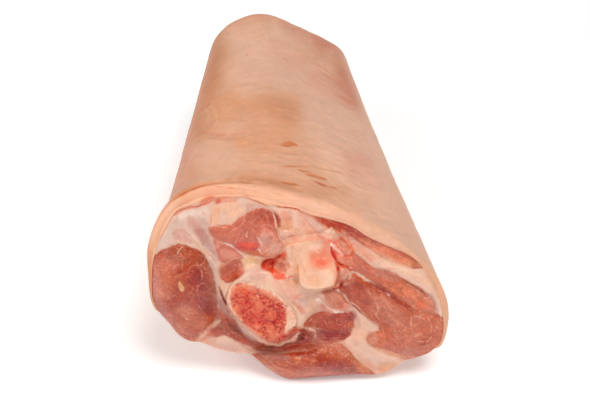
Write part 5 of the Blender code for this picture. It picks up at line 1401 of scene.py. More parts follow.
def triangulate(outline, lines, spacing):
    """A fine triangle net inside an outline in the picture, with its edges along the closed lines."""
    points, edges = [], []
    for line in [outline] + lines:
        start = len(points)
        points += [tuple(p) for p in line]
        edges += [(start + k, start + (k + 1) % len(line)) for k in range(len(line))]
    low, high = outline.min(0), outline.max(0)
    rows = np.arange(low[1], high[1], spacing * ROW_STEP)
    columns = np.arange(low[0], high[0], spacing)
    grid_x, grid_y = np.meshgrid(columns, rows)
    grid_x[1::2] += spacing / 2
    jitter = np.random.default_rng(5).uniform(-JITTER, JITTER, (2, grid_x.size)) * spacing
    grid = np.stack([grid_x.ravel() + jitter[0], grid_y.ravel() + jitter[1]], 1)
    grid = grid[inside(grid, outline)]
    clear = np.ones(len(grid), bool)
    for line in [outline] + lines:
        near = np.all((grid > line.min(0) - 2) & (grid < line.max(0) + 2), axis=1)
        d, _ = edge_distance(grid[near], closed_run(line))
        clear[np.flatnonzero(near)[d < CLEAR * spacing]] = False
    points += [tuple(p) for p in grid[clear]]
    made = delaunay_2d_cdt([Vector(p) for p in points], edges, [], 0, 1e-5)
    places = np.array([tuple(p) for p in made[0]])
    faces = np.array(made[2])
    corners = places[faces]
    a, b = corners[:, 1] - corners[:, 0], corners[:, 2] - corners[:, 0]
    turn = a[:, 0] * b[:, 1] - a[:, 1] * b[:, 0]
    faces[turn > 0] = faces[turn > 0][:, ::-1]
    faces = faces[inside(places[faces].mean(1), outline) & (np.abs(turn) > 1e-7)]
    return places, faces


SHARP_ANGLE = math.radians(55)


def new_piece(name, points, faces, colours, material):
    """A mesh piece, with its points in millimetres, that stands for the node of its name."""
    mesh = bpy.data.meshes.new(name)
    mesh.from_pydata((points * MM).tolist(), [], faces)
    layer = mesh.attributes.new("paint", "FLOAT_COLOR", "POINT")
    layer.data.foreach_set("color", np.column_stack([colours, np.ones(len(colours))]).ravel())
    mesh.shade_smooth()
    mesh.set_sharp_from_angle(angle=SHARP_ANGLE)
    mesh.materials.append(material)
    obj = bpy.data.objects.new(name, mesh)
    bpy.context.scene.collection.objects.link(obj)
    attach(obj, "root")
    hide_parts(name)


def flesh_points(plane, depth):
    """Points of the face, given as (u, w), carried down the leg to a depth."""
    angle = np.arctan2(plane[:, 1], plane[:, 0])
    share = np.hypot(plane[:, 0], plane[:, 1]) / from_table(FLESH_TABLE, angle)
    radius = share * flesh_radius(angle, depth)
    return ring_points(angle, radius, depth)


SIDE_DEPTHS = [2.0, 6.0, 12.0, 22.0, 32.0, 60.0, 105.0, 150.0]
DRAWN_DEPTH = 40.0  # depth at which the colours drawn on the face have faded from the sides
CAP_DEPTH = 34.0  # how far the gristle cap reaches into the leg
CAP_GAP = 0.5  # between the end of the cap and the fat behind it
# How much of a piece's drawn colours its far cut has; the others have half
FAR_CUT_ALIKE = {"shank_bone": 1.0, "seam_fat": 0.25}


def rim_edges(faces, count):
    """Directed edges that only one of the faces has."""
    edges = np.concatenate([faces[:, [0, 1]], faces[:, [1, 2]], faces[:, [2, 0]]])
    keys = edges[:, 0] * count + edges[:, 1]
    back = edges[:, 1] * count + edges[:, 0]
    return edges[~np.isin(keys, back)]


def through_piece(name, faces, front, plane, colour, material, reach, pocket):
    """A closed piece: its fine front on the wide face, its sides down the leg to a depth, and its far end.

    A pocket, given as faces, is a blind hole from the front, as deep as the gristle cap in it.
    """
    own = len(faces)
    whole = faces if pocket is None else np.concatenate([faces, pocket])
    used, local = np.unique(whole, return_inverse=True)
    whole = local.reshape(whole.shape)
    count = len(used)
    uw, drawn, plain = plane[used], colour[used], linear(BASE_TINTS[name])
    points, colours = [front[used]], [drawn]
    polygons = [tuple(f) for f in whole[:own]]

    def sides(rim, depths):
        """Sides along a rim, down to the last depth; gives the number of each vertex's last copy."""
        border = np.unique(rim)
        near = np.arange(count)
        for depth in depths:
            far = near.copy()
            far[border] = sum(map(len, points)) + np.arange(len(border))
            points.append(flesh_points(uw[border], depth))
            colours.append(mix(drawn[border], plain, min(depth / DRAWN_DEPTH, 1.0)))
            polygons.extend((near[b], near[a], far[a], far[b]) for a, b in rim)
            near = far
        return near

    rim = rim_edges(whole[:own], count)
    if pocket is not None:
        hole = rim_edges(whole[own:], count)
        mouth = np.isin(rim[:, 1] * count + rim[:, 0], hole[:, 0] * count + hole[:, 1])
        floor = CAP_DEPTH + CAP_GAP
        last = sides(rim[mouth], [d for d in SIDE_DEPTHS if d < floor] + [floor])
        polygons += [tuple(last[f]) for f in whole[own:]]
        inner = np.setdiff1d(whole[own:], whole[:own])
        points[0][inner] = flesh_points(uw[inner], floor)
        drawn[inner] = plain
        rim = rim[~mouth]
    last = sides(rim, [d for d in SIDE_DEPTHS if d < reach])
    border = np.unique(rim)
    end = flesh_points(uw, reach)
    x, z = end[:, 0], end[:, 2]
    grain = clouds(x, z, 3.5, 41, 4)
    if reach == LEG_LENGTH:  # the saw cut at the narrow end is uneven, and a little hollow
        end[:, 1] += 0.5 * clouds(x, z, 7, 21) - 0.4
        end[:, 1] += 0.25 * clouds(x, z, 1.6, 22, 2)
        end[border, 1] -= 0.35
    start = sum(map(len, points))
    points.append(end)
    alike = FAR_CUT_ALIKE.get(name, 0.5)
    colours.append(mix(plain, drawn, alike) * (1 + 0.12 * grain[:, None]))
    polygons += [(last[b], last[a], start + a, start + b) for a, b in rim]
    polygons += [tuple(start + f[::-1]) for f in whole]
    new_piece(name, np.concatenate(points), polygons, np.concatenate(colours), material)


AROUND = 560  # points in each ring of the fat layer
FLESH_GAP = 0.03  # between the flesh and the fat layer
THINNEST = 1.2  # least thickness of the fat layer
END_BEVEL = 1.2  # how far from the narrow end the skin turns in
END_DRAWN_IN = 0.6  # how far it has turned in there
CORNER_SHARE, CORNER_LEAST, CORNER_MOST = 0.75, 0.9, 5.0  # rounding of the front edge, by its thickness
CUT_BULGE = 0.5  # how far the middle of the cut face of the fat swells
CUT_RINGS = 14
SEAM = 0.02  # from the last ring of the cut face back to the first of the skin
# Where relief of the skin and marks drawn on it fade out: low over the floor, close behind the front edge,
# at the top of the picture in rows, and this far back where the skin starts to turn away from the camera
OVER_FLOOR, BEHIND_EDGE, TOP_ROWS, FURTHER_BACK = (0.2, 5.0), (0.5, 5.0), (4, 10), (15.0, 40.0)


def toward_eye(points):
    """Unit directions from points to the camera."""
    away = EYE - points
    return away / np.linalg.norm(away, axis=1)[:, None]


def fat_inside(angle, depth):
    return flesh_radius(angle, depth) + FLESH_GAP


def cut_ring(angle, inner, outer, share):
    """One ring of the cut face of the fat, from its inner radius at share 0 to its outer one at share 1."""
    ring = ring_points(angle, mix(inner, outer, share), rind_edge(angle))
    bulge = (LIP * (1 - share) + CUT_BULGE * math.sin(math.pi * share)) * covered_by_rind(angle)
    ring += toward_eye(ring) * bulge[:, None]
    pixels = to_pixels(ring)
    x, y = pixels.T
    colour = np.tile(linear("peach"), (AROUND, 1)) * (1 + 0.05 * fractal(x / 9, y / 4, 62)[:, None])
    for layers in (RIND_PAINT, FACE_PAINT):
        paint(pixels, layers, colour, np.zeros(AROUND), clouds(x, y, 6, 61))
    return ring, colour


def skin_ring(angle, bend, inset):
    """One ring of the skin, at inset behind its front edge, which bend rounds off."""
    depth = rind_edge(angle) + SEAM + inset
    corner = bend * (1 - np.sqrt(1 - np.clip(1 - inset / bend, 0, 1) ** 2))
    radius = np.maximum(skin_radius(angle, depth), fat_inside(angle, depth) + THINNEST) - corner
    plain = ring_points(angle, radius, depth)
    pixels = to_pixels(plain)
    outward = np.stack([np.cos(angle), 0 * angle, np.sin(angle)], 1)
    around = radius * angle
    breakup = fractal(around / 7, depth / 7, 63)
    colour, rise = rind_surface(angle, around, depth, breakup)
    drawn, drawn_rise = colour.copy(), rise.copy()
    paint(pixels, RIND_PAINT, drawn, drawn_rise, breakup)
    tone, creases = rind_wrinkles(pixels)
    facing = np.sum(outward * toward_eye(plain), 1)
    beyond = smooth_step(inset, *FURTHER_BACK)
    seen = smooth_step(facing, 0.04 * beyond - 0.02, 0.12 + 0.2 * beyond)
    seen *= smooth_step(pixels[:, 1], *TOP_ROWS)
    colour = mix(colour, drawn * (1 + tone[:, None]), seen[:, None])
    rise = mix(rise, drawn_rise + creases, seen)
    rise *= smooth_step(plain[:, 2], *OVER_FLOOR) * smooth_step(inset, *BEHIND_EDGE)
    return plain + outward * rise[:, None], colour


def rind_piece(material):
    """The fat layer with its rind: a tube with its cut face drawn on the plane of the saw cut."""
    angle = np.arange(AROUND) * 2 * math.pi / AROUND
    everywhere = np.ones((AROUND, 1))
    edge = rind_edge(angle)
    inner = fat_inside(angle, edge)
    skin = np.maximum(skin_radius(angle, edge), inner + THINNEST)
    bend = np.clip(CORNER_SHARE * (skin - inner), CORNER_LEAST, CORNER_MOST)
    bend = mix(CORNER_LEAST, bend, covered_by_rind(angle))
    rings = []
    for share in (1.0, 0.75, 0.5, 0.3, 0.15, 0.06, 0.02):  # forward along the inside
        depth = edge + (LEG_LENGTH - edge) * share
        rings.append((ring_points(angle, fat_inside(angle, depth), depth), everywhere * linear("pale")))
    rings += [cut_ring(angle, inner, skin - bend, share) for share in np.linspace(0, 1, CUT_RINGS)]
    # Back along the skin, in steps that are finest near the front edge
    steps = [np.arange(0, 9, 0.45), np.arange(9, 75, 0.6), np.arange(75, LEG_LENGTH - 1.0, 1.0)]
    for step in np.concatenate(steps):
        rings.append(skin_ring(angle, bend, (LEG_LENGTH - END_BEVEL - edge) * step / LEG_LENGTH))
    far, far_inside = skin_radius(angle, LEG_LENGTH), fat_inside(angle, LEG_LENGTH)
    for share in (0.15, 0.5, 0.85):  # inward over the far cut
        radius = mix(far - END_DRAWN_IN, far_inside, share)
        rings.append((ring_points(angle, radius, LEG_LENGTH), everywhere * linear("peach")))
    total = len(rings)
    polygons = []
    for j in range(total):
        k = (j + 1) % total
        for i in range(AROUND):
            m = (i + 1) % AROUND
            polygons.append((j * AROUND + i, k * AROUND + i, k * AROUND + m, j * AROUND + m))
    points, colours = (np.concatenate(part) for part in zip(*rings))
    new_piece("fat_layer", points, polygons, colours, material)


# Patches and lines drawn on the rind, as on the face
RIND_PAINT = [
    # broad colours
    ("patch", "rind_tan", 0.75, 12, 0, [238, 12, 220, 22, 210, 40, 202, 62, 196, 86, 188, 112, 180, 140,
     172, 168, 166, 192, 180, 196, 192, 178, 200, 158, 208, 134, 214, 108, 219, 84, 224, 60, 234, 38, 246,
     22]),
    ("patch", "rind_brown", 0.4, 7, 0, [216, 46, 206, 62, 200, 82, 194, 104, 190, 122, 198, 128, 206, 110,
     211, 90, 215, 68, 220, 52]),
    ("patch", "rind_brown", 0.3, 4, 0, [199, 84, 206, 86, 204, 100, 198, 118, 191, 124, 193, 108]),
    ("patch", "rind_brown", 0.28, 5, 0, [186, 128, 182, 144, 180, 158, 188, 156, 196, 142, 200, 130, 194,
     124]),
    ("patch", "rind_pink", 0.5, 9, 0, [182, 146, 176, 164, 172, 182, 186, 186, 198, 170, 200, 152, 190,
     144]),
    ("line", "rust", 0.4, 2.4, 0, [181, 171, 185, 163, 189, 156]),
    # the rind_light patches below lighten the right side and the top: partly the skin's paler colour, partly
    # painted light
    ("patch", "rind_light", 0.7, 13, 0, [318, 98, 346, 102, 362, 124, 380, 156, 398, 190, 408, 216, 384,
     208, 356, 194, 330, 178, 316, 150, 308, 120]),
    ("patch", "rind_light", 0.6, 14, 0, [254, 20, 290, 30, 318, 50, 334, 80, 322, 104, 296, 92, 272, 90,
     250, 60]),
    ("patch", "rind_light", 0.4, 10, 0, [232, 60, 250, 56, 262, 74, 256, 96, 238, 96, 228, 80]),
    ("patch", "rind_light", 0.55, 12, 0, [226, 24, 250, 18, 276, 22, 300, 34, 296, 60, 262, 56, 232, 44]),
    ("patch", "rind_orange", 0.3, 12, 0, [214, 92, 236, 88, 262, 92, 270, 112, 250, 124, 222, 124, 208,
     114]),
    ("patch", "rind_rust", 0.5, 6, 0, [238, 12, 222, 20, 211, 36, 206, 54, 200, 74, 205, 78, 210, 62, 216,
     44, 226, 28, 240, 18]),
    ("patch", "rind_rust", 0.65, 6, 0, [200, 74, 193, 96, 188, 116, 184, 136, 190, 138, 196, 122, 201, 102,
     206, 82]),
    ("patch", "rind_rust", 0.35, 5, 0, [184, 134, 178, 156, 172, 178, 177, 180, 184, 162, 190, 144]),
    ("patch", "rind_rust", 0.3, 7, 0, [206, 50, 214, 46, 216, 66, 212, 90, 204, 110, 200, 90]),
    ("patch", "rind_pale", 0.85, 14, 0, [244, 38, 266, 32, 288, 44, 300, 66, 296, 92, 272, 98, 248, 94, 236,
     76, 236, 52]),
    ("patch", "rind_pale", 0.5, 9, 0, [226, 116, 246, 108, 256, 124, 250, 136, 232, 134]),
    ("patch", "rind_orange", 0.5, 10, 0, [214, 94, 240, 96, 252, 106, 240, 116, 222, 124, 208, 120, 204,
     106]),
    ("patch", "rind_orange", 0.42, 12, 0, [252, 94, 284, 92, 300, 106, 298, 132, 274, 146, 244, 150, 228,
     142, 240, 126, 250, 110]),
    ("patch", "rind_tan", 0.35, 8, 0, [262, 98, 284, 96, 300, 104, 304, 116, 292, 124, 276, 120, 264, 110]),
    ("patch", "rind_pink", 0.6, 9, 0, [276, 34, 300, 44, 314, 56, 300, 68, 280, 62, 268, 48]),
    ("patch", "rind_pale", 0.75, 12, 0, [308, 96, 334, 98, 356, 118, 372, 150, 378, 172, 356, 166, 330, 146,
     312, 128, 302, 112]),
    ("patch", "rind_pink", 0.65, 5, 0, [244, 9, 266, 9, 278, 14, 272, 21, 256, 20, 244, 19]),
    ("patch", "rind_pink", 0.5, 6, 0, [232, 20, 242, 14, 246, 22, 242, 34, 234, 34]),
    ("patch", "rind_tan", 0.4, 7, 0, [246, 20, 268, 20, 272, 32, 252, 38, 240, 34]),
    ("patch", "rind_red", 0.55, 6, 0, [280, 19, 300, 26, 316, 36, 322, 44, 306, 42, 292, 38, 282, 30]),
    ("patch", "rind_pink", 0.7, 8, 0, [300, 30, 326, 38, 342, 48, 350, 66, 344, 74, 330, 64, 312, 52, 298,
     44]),
    ("patch", "rind_red", 0.45, 4, 0, [314, 35, 330, 41, 338, 47, 324, 49, 314, 45]),
    ("patch", "rind_tan", 0.5, 7, 0, [296, 44, 316, 46, 326, 54, 316, 62, 302, 56]),
    ("patch", "rind_tan", 0.5, 6, 0, [336, 54, 346, 60, 352, 76, 346, 84, 338, 74, 332, 64]),
    ("patch", "rind_red", 0.65, 9, 0, [342, 68, 354, 78, 364, 96, 372, 112, 364, 114, 350, 106, 338, 94,
     334, 80]),
    ("patch", "rind_red", 0.45, 5, 0, [350, 82, 358, 92, 364, 104, 356, 104, 348, 96]),
    ("patch", "rind_pink", 0.55, 9, 0, [314, 68, 334, 76, 346, 92, 340, 102, 322, 94, 308, 80]),
    ("patch", "rind_orange", 0.35, 8, 0, [236, 138, 262, 138, 290, 142, 294, 150, 268, 152, 242, 148]),
    ("patch", "rind_pink", 0.4, 9, 0, [348, 162, 372, 162, 386, 180, 384, 194, 364, 188, 346, 176]),
    ("patch", "rind_red", 0.22, 6, 0, [344, 148, 364, 152, 374, 164, 360, 168, 344, 160]),
    # painted shade: tan bands along the skin just above the near edge
    ("patch", "rind_tan", 0.4, 6, 0, [228, 176, 250, 172, 276, 176, 300, 186, 330, 193, 326, 199, 296, 195,
     264, 188, 236, 184]),
    ("patch", "rind_tan", 0.35, 7, 0, [300, 180, 330, 184, 350, 192, 340, 196, 316, 190]),
    ("patch", "rind_pale", 0.6, 10, 0, [196, 142, 226, 142, 240, 158, 232, 172, 206, 176, 194, 162], [366,
     206, 392, 214, 408, 234, 416, 254, 402, 258, 384, 240, 364, 222]),
    ("patch", "peach", 0.7, 6, 0, [178, 199, 197, 188, 218, 183.5, 244, 183, 268, 187, 296, 196, 326, 203,
     346, 213, 344, 222, 318, 212, 290, 206, 262, 198, 236, 190, 210, 188, 190, 196]),
    ("patch", "pale", 0.6, 6, 0, [296, 200, 322, 205, 348, 216, 372, 228, 396, 242, 414, 260, 404, 258, 380,
     246, 350, 230, 322, 217, 300, 209]),
    ("patch", "peach", 0.5, 6, 0, [396, 244, 414, 256, 428, 278, 440, 300, 432, 300, 420, 280, 404, 262]),
    ("patch", "rind_pink", 0.4, 2, 0, [202, 190, 212, 187, 230, 190, 232, 196, 216, 196, 204, 196]),
    ("patch", "cream", 0.45, 6, 0, [150, 240, 158, 222, 168, 208, 180, 198, 176, 208, 166, 222, 158, 240,
     154, 262, 150, 262]),
    ("line", "rust", 0.35, 1.6, 0, [148, 262, 148.5, 248, 152, 232, 159, 218, 167, 207, 172, 200]),
    # crease above the near edge, darkened with painted shade in its groove, a band of painted shade along
    # the edge, and the marks beneath it
    ("line", "rind_brown", 0.5, 2.6, -0.9, [168, 203.5, 176, 197.5, 182, 193, 190, 188.5, 200, 185.5, 212,
     182.8, 226, 181.5, 244, 181.5, 262, 183]),
    ("line", "rust", 0.5, 1.1, -0.3, [169, 204, 176, 198.3, 182, 193.8, 190, 189, 200, 186, 210, 183.5, 220,
     182]),
    ("line", "flesh_dark", 0.22, 1, -0.2, [180, 195, 190, 189.3, 202, 185.8, 212, 183.3]),
    ("line", "rind_tan", 0.45, 4, -0.4, [224, 178.5, 244, 178, 266, 180, 288, 186, 308, 192]),
    ("line", "rust", 0.45, 1.2, -0.2, [178, 198, 185, 193.5, 193, 189.5, 200, 187]),
    ("line", "rust", 0.6, 1.1, -0.3, [213, 187.5, 220, 187, 226, 187.7, 234, 188.7, 243, 189.2]),
    ("line", "rind_brown", 0.35, 1.2, -0.2, [240, 189, 256, 190.5, 272, 193, 288, 196]),
    # slits
    ("patch", "ochre", 0.5, 1.3, -0.12, [280, 144.6, 284, 142, 289, 140.8, 294, 142.4, 298.5, 145.8, 293,
     145.8, 286, 145.6]),
    ("line", "ochre", 0.7, 1, -0.2, [280.5, 144.8, 286, 145.4, 291, 145.4]),
    ("line", "ochre", 0.5, 0.9, -0.15, [288, 142, 293, 143.6, 298, 145.8]),
    ("line", "ochre", 0.6, 1, -0.3, [280.3, 166.3, 290, 166, 300, 166, 312, 167]),
    ("line", "rind_brown", 0.45, 1.1, -0.25, [312, 167, 326, 169.5, 338, 171.5, 346, 174]),
    ("line", "ochre", 0.75, 1.3, -0.4, [298, 169.4, 303, 170.8, 312, 172]),
    ("line", "ochre", 0.85, 1.6, -0.5, [305.5, 174.3, 313, 175, 321, 177, 328, 179.5]),
    ("line", "ochre", 0.7, 1, -0.3, [307, 175.5, 314, 177, 322, 179.5, 327, 180.5]),
    ("line", "ochre", 0.9, 1.5, -0.6, [280, 180.4, 287, 182, 294, 183.3, 300, 184.8]),
    ("line", "rind_plum", 0.85, 1.6, -0.4, [314, 181.5, 320, 183.5, 328, 186.3]),
    ("line", "ochre", 0.7, 1.1, -0.3, [327, 186, 332, 187.3, 338, 188.8]),
    ("line", "rind_brown", 0.3, 1, -0.1, [336, 185, 346, 188, 356, 192]),
    ("line", "rind_brown", 0.25, 1, -0.1, [282, 152, 296, 154, 312, 155]),
    ("line", "rind_pink", 0.3, 1.2, -0.1, [282, 158, 298, 160, 318, 160.5]),
    # scars, pores and scratches
    ("line", "rind_orange", 0.8, 1.5, -0.1, [268, 38.5, 272, 40]),
    ("line", "rind_orange", 0.6, 1.6, -0.1, [245.5, 56, 248, 53.5]),
    ("line", "rind_orange", 0.5, 1.5, -0.1, [266, 54.5, 269, 54.5]),
    ("line", "rind_brown", 0.6, 1.2, -0.2, [282.5, 58.8, 287.5, 60.5]),
    ("line", "rind_orange", 0.6, 1.6, -0.1, [324, 64.5, 326, 65.5]),
    ("line", "rind_brown", 0.5, 1.4, -0.1, [291, 29, 295, 30.5]),
    ("line", "rind_red", 0.8, 1.3, 0.1, [382.4, 183.6, 383.8, 184.4]),
    ("line", "rind_red", 0.7, 1.2, 0.1, [391, 196.6, 392.4, 197.4]),
    ("line", "rind_red", 0.4, 3, -0.3, [199, 132, 210, 133, 222, 134.5, 234, 134.5, 246, 132]),
    ("line", "rind_red", 0.3, 2, -0.2, [204, 137, 216, 138, 230, 139, 244, 137]),
    ("line", "rind_orange", 0.4, 2.6, -0.15, [208, 122, 222, 119, 236, 119, 250, 122]),
    ("line", "rind_red", 0.3, 2, -0.15, [196, 116, 204, 108, 212, 102]),
    ("line", "rind_pale", 0.4, 1.8, 0.15, [210, 104, 216, 112, 217, 122, 212, 130]),
    ("line", "rind_pale", 0.35, 1.6, 0.15, [204, 106, 209, 114, 208, 122]),
    ("line", "rind_red", 0.3, 1.6, -0.15, [205, 98, 211, 94, 217, 91]),
    ("line", "rind_red", 0.28, 1.6, -0.15, [203, 103, 210, 99, 217, 96]),
    ("line", "rind_orange", 0.35, 2, -0.1, [228, 88, 250, 84, 272, 88, 290, 98]),
    ("line", "rind_pale", 0.35, 2.5, 0.1, [236, 98, 262, 90, 284, 92]),
    ("line", "rind_red", 0.3, 1.4, -0.2, [318, 71, 330, 77, 344, 86], [324, 80, 336, 86, 350, 95]),
    ("line", "rind_red", 0.28, 1.4, -0.2, [330, 92, 344, 98, 358, 106]),
    ("line", "rind_red", 0.25, 1.3, -0.2, [312, 62, 324, 68, 338, 78]),
    ("line", "rind_pale", 0.3, 1.3, 0.15, [316, 74, 330, 82, 344, 92], [330, 86, 344, 94, 354, 102]),
    ("line", "rind_orange", 0.35, 1.2, -0.1, [302, 81, 308, 84, 314, 85]),
    ("line", "rind_pale", 0.5, 1.4, 0.2, [262, 30, 266, 33, 269, 37]),
    # pale upper part, partly painted light, orange left edge and pale flared edge at the left
    ("patch", "rind_light", 0.45, 12, 0, [228, 26, 250, 20, 276, 22, 304, 34, 318, 56, 290, 62, 258, 56,
     230, 46]),
    ("patch", "rind_orange", 0.25, 8, 0, [206, 58, 213, 62, 200, 118, 190, 150, 182, 150, 188, 118]),
    ("patch", "rind_light", 0.5, 4, 0, LEFT_EDGE),
]


CREASE_CENTRE = (290.0, 120.0)  # about which the creases turn, in the picture


def rind_wrinkles(pixels):
    """Tone and relief of the fine slanted creases in the skin, which are plainest low and to the right."""
    x, y = pixels.T
    slope = np.radians(-18 + 22 * smooth_step(x, 210, 270) + 16 * smooth_step(x, 290, 360))
    dx, dy = x - CREASE_CENTRE[0], y - CREASE_CENTRE[1]
    along = dx * np.cos(slope) + dy * np.sin(slope)
    across = dy * np.cos(slope) - dx * np.sin(slope)
    bend = 0.5 * clouds(x, y, 18, 74)
    fine = fractal(along / 11, across / 1.4 + bend, 75, 2)
    broad = fractal(along / 20, across / 4.2 + bend, 76, 2)
    grit = clouds(x, y, 1.6, 77, 2)
    near = 0.35 + 0.65 * smooth_step(y, 50, 175) * smooth_step(x, 190, 330)
    return (0.08 * fine + 0.06 * broad) * near + 0.03 * grit, (0.14 * fine + 0.16 * broad) * near


def rind_surface(angle, around, depth, breakup):
    """Colour and relief of the rind away from its drawn marks. It is darker down the left side."""
    degrees = whole_degrees(angle)
    to_left = 0.8 * smooth_step(degrees, 115, 160) * (1 - smooth_step(degrees, 185, 250))
    colour = lay(linear("rind"), "rind_tan", to_left)
    colour = colour * (1 + 0.06 * fractal(around / 16, depth / 22, 71)[:, None])
    slant = depth + 0.25 * around
    wrinkle = fractal(around / 9, slant / 1.9, 72, 2)
    rise = 0.16 * wrinkle + 0.25 * fractal(around / 14, depth / 18, 73) + 0.08 * breakup
    return colour, rise


# ---------------------------------------------------------------- materials
MILLIMETRE_SCALE = 1000.0  # a noise texture with features one millimetre wide
BUMP_HEIGHT = 0.0004
SCATTER_RADIUS, SCATTER_SCALE = (1.0, 0.35, 0.2), 0.002  # red light goes furthest into the flesh
COAT_ROUGHNESS = 0.14


def new_material(name):
    material = bpy.data.materials.new(name)
    material.use_nodes = True
    return material, material.node_tree, material.node_tree.nodes["Principled BSDF"]


def set_inputs(node, values):
    for key, value in values.items():
        node.inputs[key].default_value = value


def add_node(tree, kind, **values):
    """A node with its settings and inputs; in the name of an input, _ stands for a space."""
    node = tree.nodes.new(kind)
    for key, value in values.items():
        if hasattr(node, key):
            setattr(node, key, value)
        else:
            node.inputs[key.replace("_", " ")].default_value = value
    return node


def tissue(name, roughness, mottle, mottle_size, bumps, scatter, wet):
    """Painted tissue: mottling over the drawn colours, and small wet bumps. Its sizes are in millimetres."""
    material, tree, shader = new_material(name)
    link = tree.links.new
    strength, coarse, fine = bumps
    drawn = add_node(tree, "ShaderNodeAttribute", attribute_name="paint")
    place = add_node(tree, "ShaderNodeTexCoord")
    spots, rough, close = (
        add_node(tree, "ShaderNodeTexNoise", Scale=MILLIMETRE_SCALE / size, Detail=detail)
        for size, detail in ((mottle_size, 4.0), (coarse, 3.0), (fine, 2.0))
    )
    for texture in (spots, rough, close):
        link(place.outputs["Object"], texture.inputs["Vector"])
    set_inputs(spots, {"Roughness": 0.65})
    level = add_node(
        tree, "ShaderNodeMapRange", From_Min=0.3, From_Max=0.7, To_Min=1.0 - mottle, To_Max=1.0 + mottle
    )
    link(spots.outputs["Fac"], level.inputs["Value"])
    tint = add_node(tree, "ShaderNodeVectorMath", operation="SCALE")
    link(drawn.outputs["Color"], tint.inputs[0])
    link(level.outputs["Result"], tint.inputs["Scale"])
    link(tint.outputs["Vector"], shader.inputs["Base Color"])
    both = add_node(tree, "ShaderNodeMath", operation="ADD")
    link(rough.outputs["Fac"], both.inputs[0])
    link(close.outputs["Fac"], both.inputs[1])
    bump = add_node(tree, "ShaderNodeBump", Strength=strength, Distance=BUMP_HEIGHT)
    link(both.outputs["Value"], bump.inputs["Height"])
    link(bump.outputs["Normal"], shader.inputs["Normal"])
    set_inputs(shader, {
        "Roughness": roughness, "Specular IOR Level": 0.3,
        "Subsurface Weight": scatter, "Subsurface Radius": SCATTER_RADIUS, "Subsurface Scale": SCATTER_SCALE,
        "Coat Weight": wet, "Coat Roughness": COAT_ROUGHNESS,
    })
    return material


# ---------------------------------------------------------------- the leg
NET_SPACING = 0.75  # of the fine net over the face, in pixels


def build_leg():
    """Draws the wide face as one net, and cuts it into the pieces; the fat layer goes round them."""
    flesh = tissue("raw_flesh", 0.36, 0.12, 2.2, (0.45, 1.6, 0.5), scatter=0.25, wet=0.35)
    fat = tissue("fat_and_sinew", 0.34, 0.05, 3.0, (0.4, 2.0, 0.7), scatter=0.35, wet=0.4)
    bone = tissue("sawn_marrow_bone", 0.42, 0.16, 1.1, (0.6, 0.9, 0.35), scatter=0.2, wet=0.3)
    gristle = tissue("gristle", 0.3, 0.03, 3.5, (0.25, 2.6, 0.9), scatter=0.4, wet=0.45)
    rind = tissue("rind", 0.46, 0.05, 4.0, (0.3, 1.2, 0.4), scatter=0.2, wet=0.0)
    materials = {"shank_bone": bone, "knuckle_cap": gristle, "seam_fat": fat}

    angle = -np.arange(AROUND) * 2 * math.pi / AROUND
    outline = to_pixels(ring_points(angle, from_table(FLESH_TABLE, angle), 0.0))
    places, faces = triangulate(outline, list(LINES.values()), NET_SPACING)
    owner = owners(places[faces].mean(1))
    x, y = places.T
    breakup = 0.7 * clouds(x, y, 6, 61) + 0.6 * clouds(x, y, 2, 62, 2)
    wobble = [clouds(x, y, 7, seed, 2) + 0.6 * clouds(x, y, 2.4, seed + 10, 2) for seed in (31, 32)]
    drawn_at = places + np.stack(wobble, 1)
    height = face_height(places)
    colour = np.tile(linear("pale"), (len(places), 1))
    for name, shape in OUTLINES.items():
        colour = lay(colour, BASE_TINTS[name], patch_weight(drawn_at, shape, 0.8))
    paint(drawn_at, FACE_PAINT, colour, height, breakup)
    height += face_texture(places, colour)
    colour = np.clip(colour - WET_GLOW, DARKEST, BRIGHTEST)

    flat = on_face(places)
    front = flat + toward_eye(flat) * height[:, None]
    plane = (flat - FACE_MIDDLE)[:, [0, 2]]
    cap = faces[owner == "knuckle_cap"]
    for name in ["seam_fat", *OUTLINES]:
        through_piece(
            name, faces[owner == name], front, plane, colour, materials.get(name, flesh),
            reach=CAP_DEPTH if name == "knuckle_cap" else LEG_LENGTH,
            pocket=cap if name == "seam_fat" else None,
        )
    rind_piece(rind)


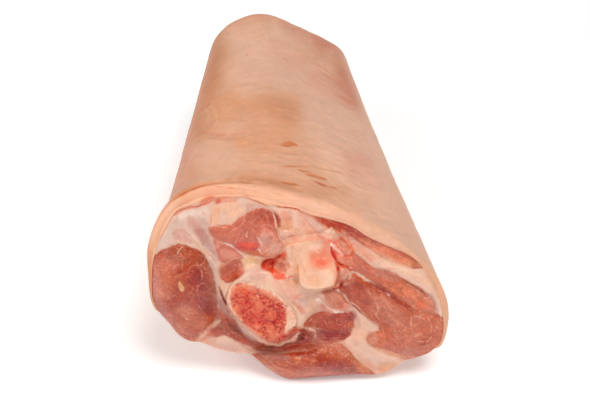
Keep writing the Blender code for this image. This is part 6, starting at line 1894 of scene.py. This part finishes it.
# ---------------------------------------------------------------- the studio
def area_light(name, place, aim, size, power):
    """A round lamp, size metres wide, that points at aim."""
    light = bpy.data.lights.new(name, "AREA")
    light.shape = "DISK"
    light.size = size
    light.energy = power
    obj = bpy.data.objects.new(name, light)
    obj.location = place
    obj.rotation_euler = (Vector(aim) - Vector(place)).to_track_quat("-Z", "Y").to_euler()
    bpy.context.scene.collection.objects.link(obj)


WHITE = (1.0, 1.0, 1.0, 1.0)
FLOOR_GREY = (0.94, 0.94, 0.94, 1.0)
FLOOR_HALF, FLOOR_DROP = 3.0, 0.0003  # in metres; it lies a little under the leg, so as not to cut it
SENSOR = 36.0


def build_studio():
    """White world, three lamps, a floor that is nearly white, and the camera of the photo."""
    scene = bpy.context.scene
    scene.view_settings.view_transform = "Standard"
    scene.world = bpy.data.worlds.new("studio")
    scene.world.use_nodes = True
    set_inputs(scene.world.node_tree.nodes["Background"], {"Color": WHITE, "Strength": 0.42})
    area_light("key", (0.22, -0.50, 1.05), (0, 0, 0.04), 0.5, 8.0)
    area_light("fill", (-0.75, -0.45, 0.6), (0, 0, 0.04), 0.8, 3.6)
    area_light("glint", (-0.25, -0.95, 0.30), (0, -0.09, 0.05), 0.05, 0.35)

    mesh = bpy.data.meshes.new("floor")
    corners = [(x * FLOOR_HALF, y * FLOOR_HALF, 0) for x, y in ((-1, -1), (1, -1), (1, 1), (-1, 1))]
    mesh.from_pydata(corners, [], [(0, 1, 2, 3)])
    floor = bpy.data.objects.new("floor", mesh)
    floor.location.z = -FLOOR_DROP
    material, _, shader = new_material("floor")
    set_inputs(shader, {
        "Base Color": FLOOR_GREY, "Roughness": 0.9, "Emission Color": WHITE, "Emission Strength": 0.2,
    })
    mesh.materials.append(material)
    scene.collection.objects.link(floor)

    camera = bpy.data.cameras.new("camera")
    camera.sensor_width = SENSOR
    camera.lens = FOCAL * SENSOR / PICTURE[0]
    view = bpy.data.objects.new("camera", camera)
    view.location = EYE * MM
    view.rotation_euler = (math.pi / 2 - PITCH, 0.0, 0.0)
    scene.collection.objects.link(view)
    scene.camera = view


build_leg()
build_studio()
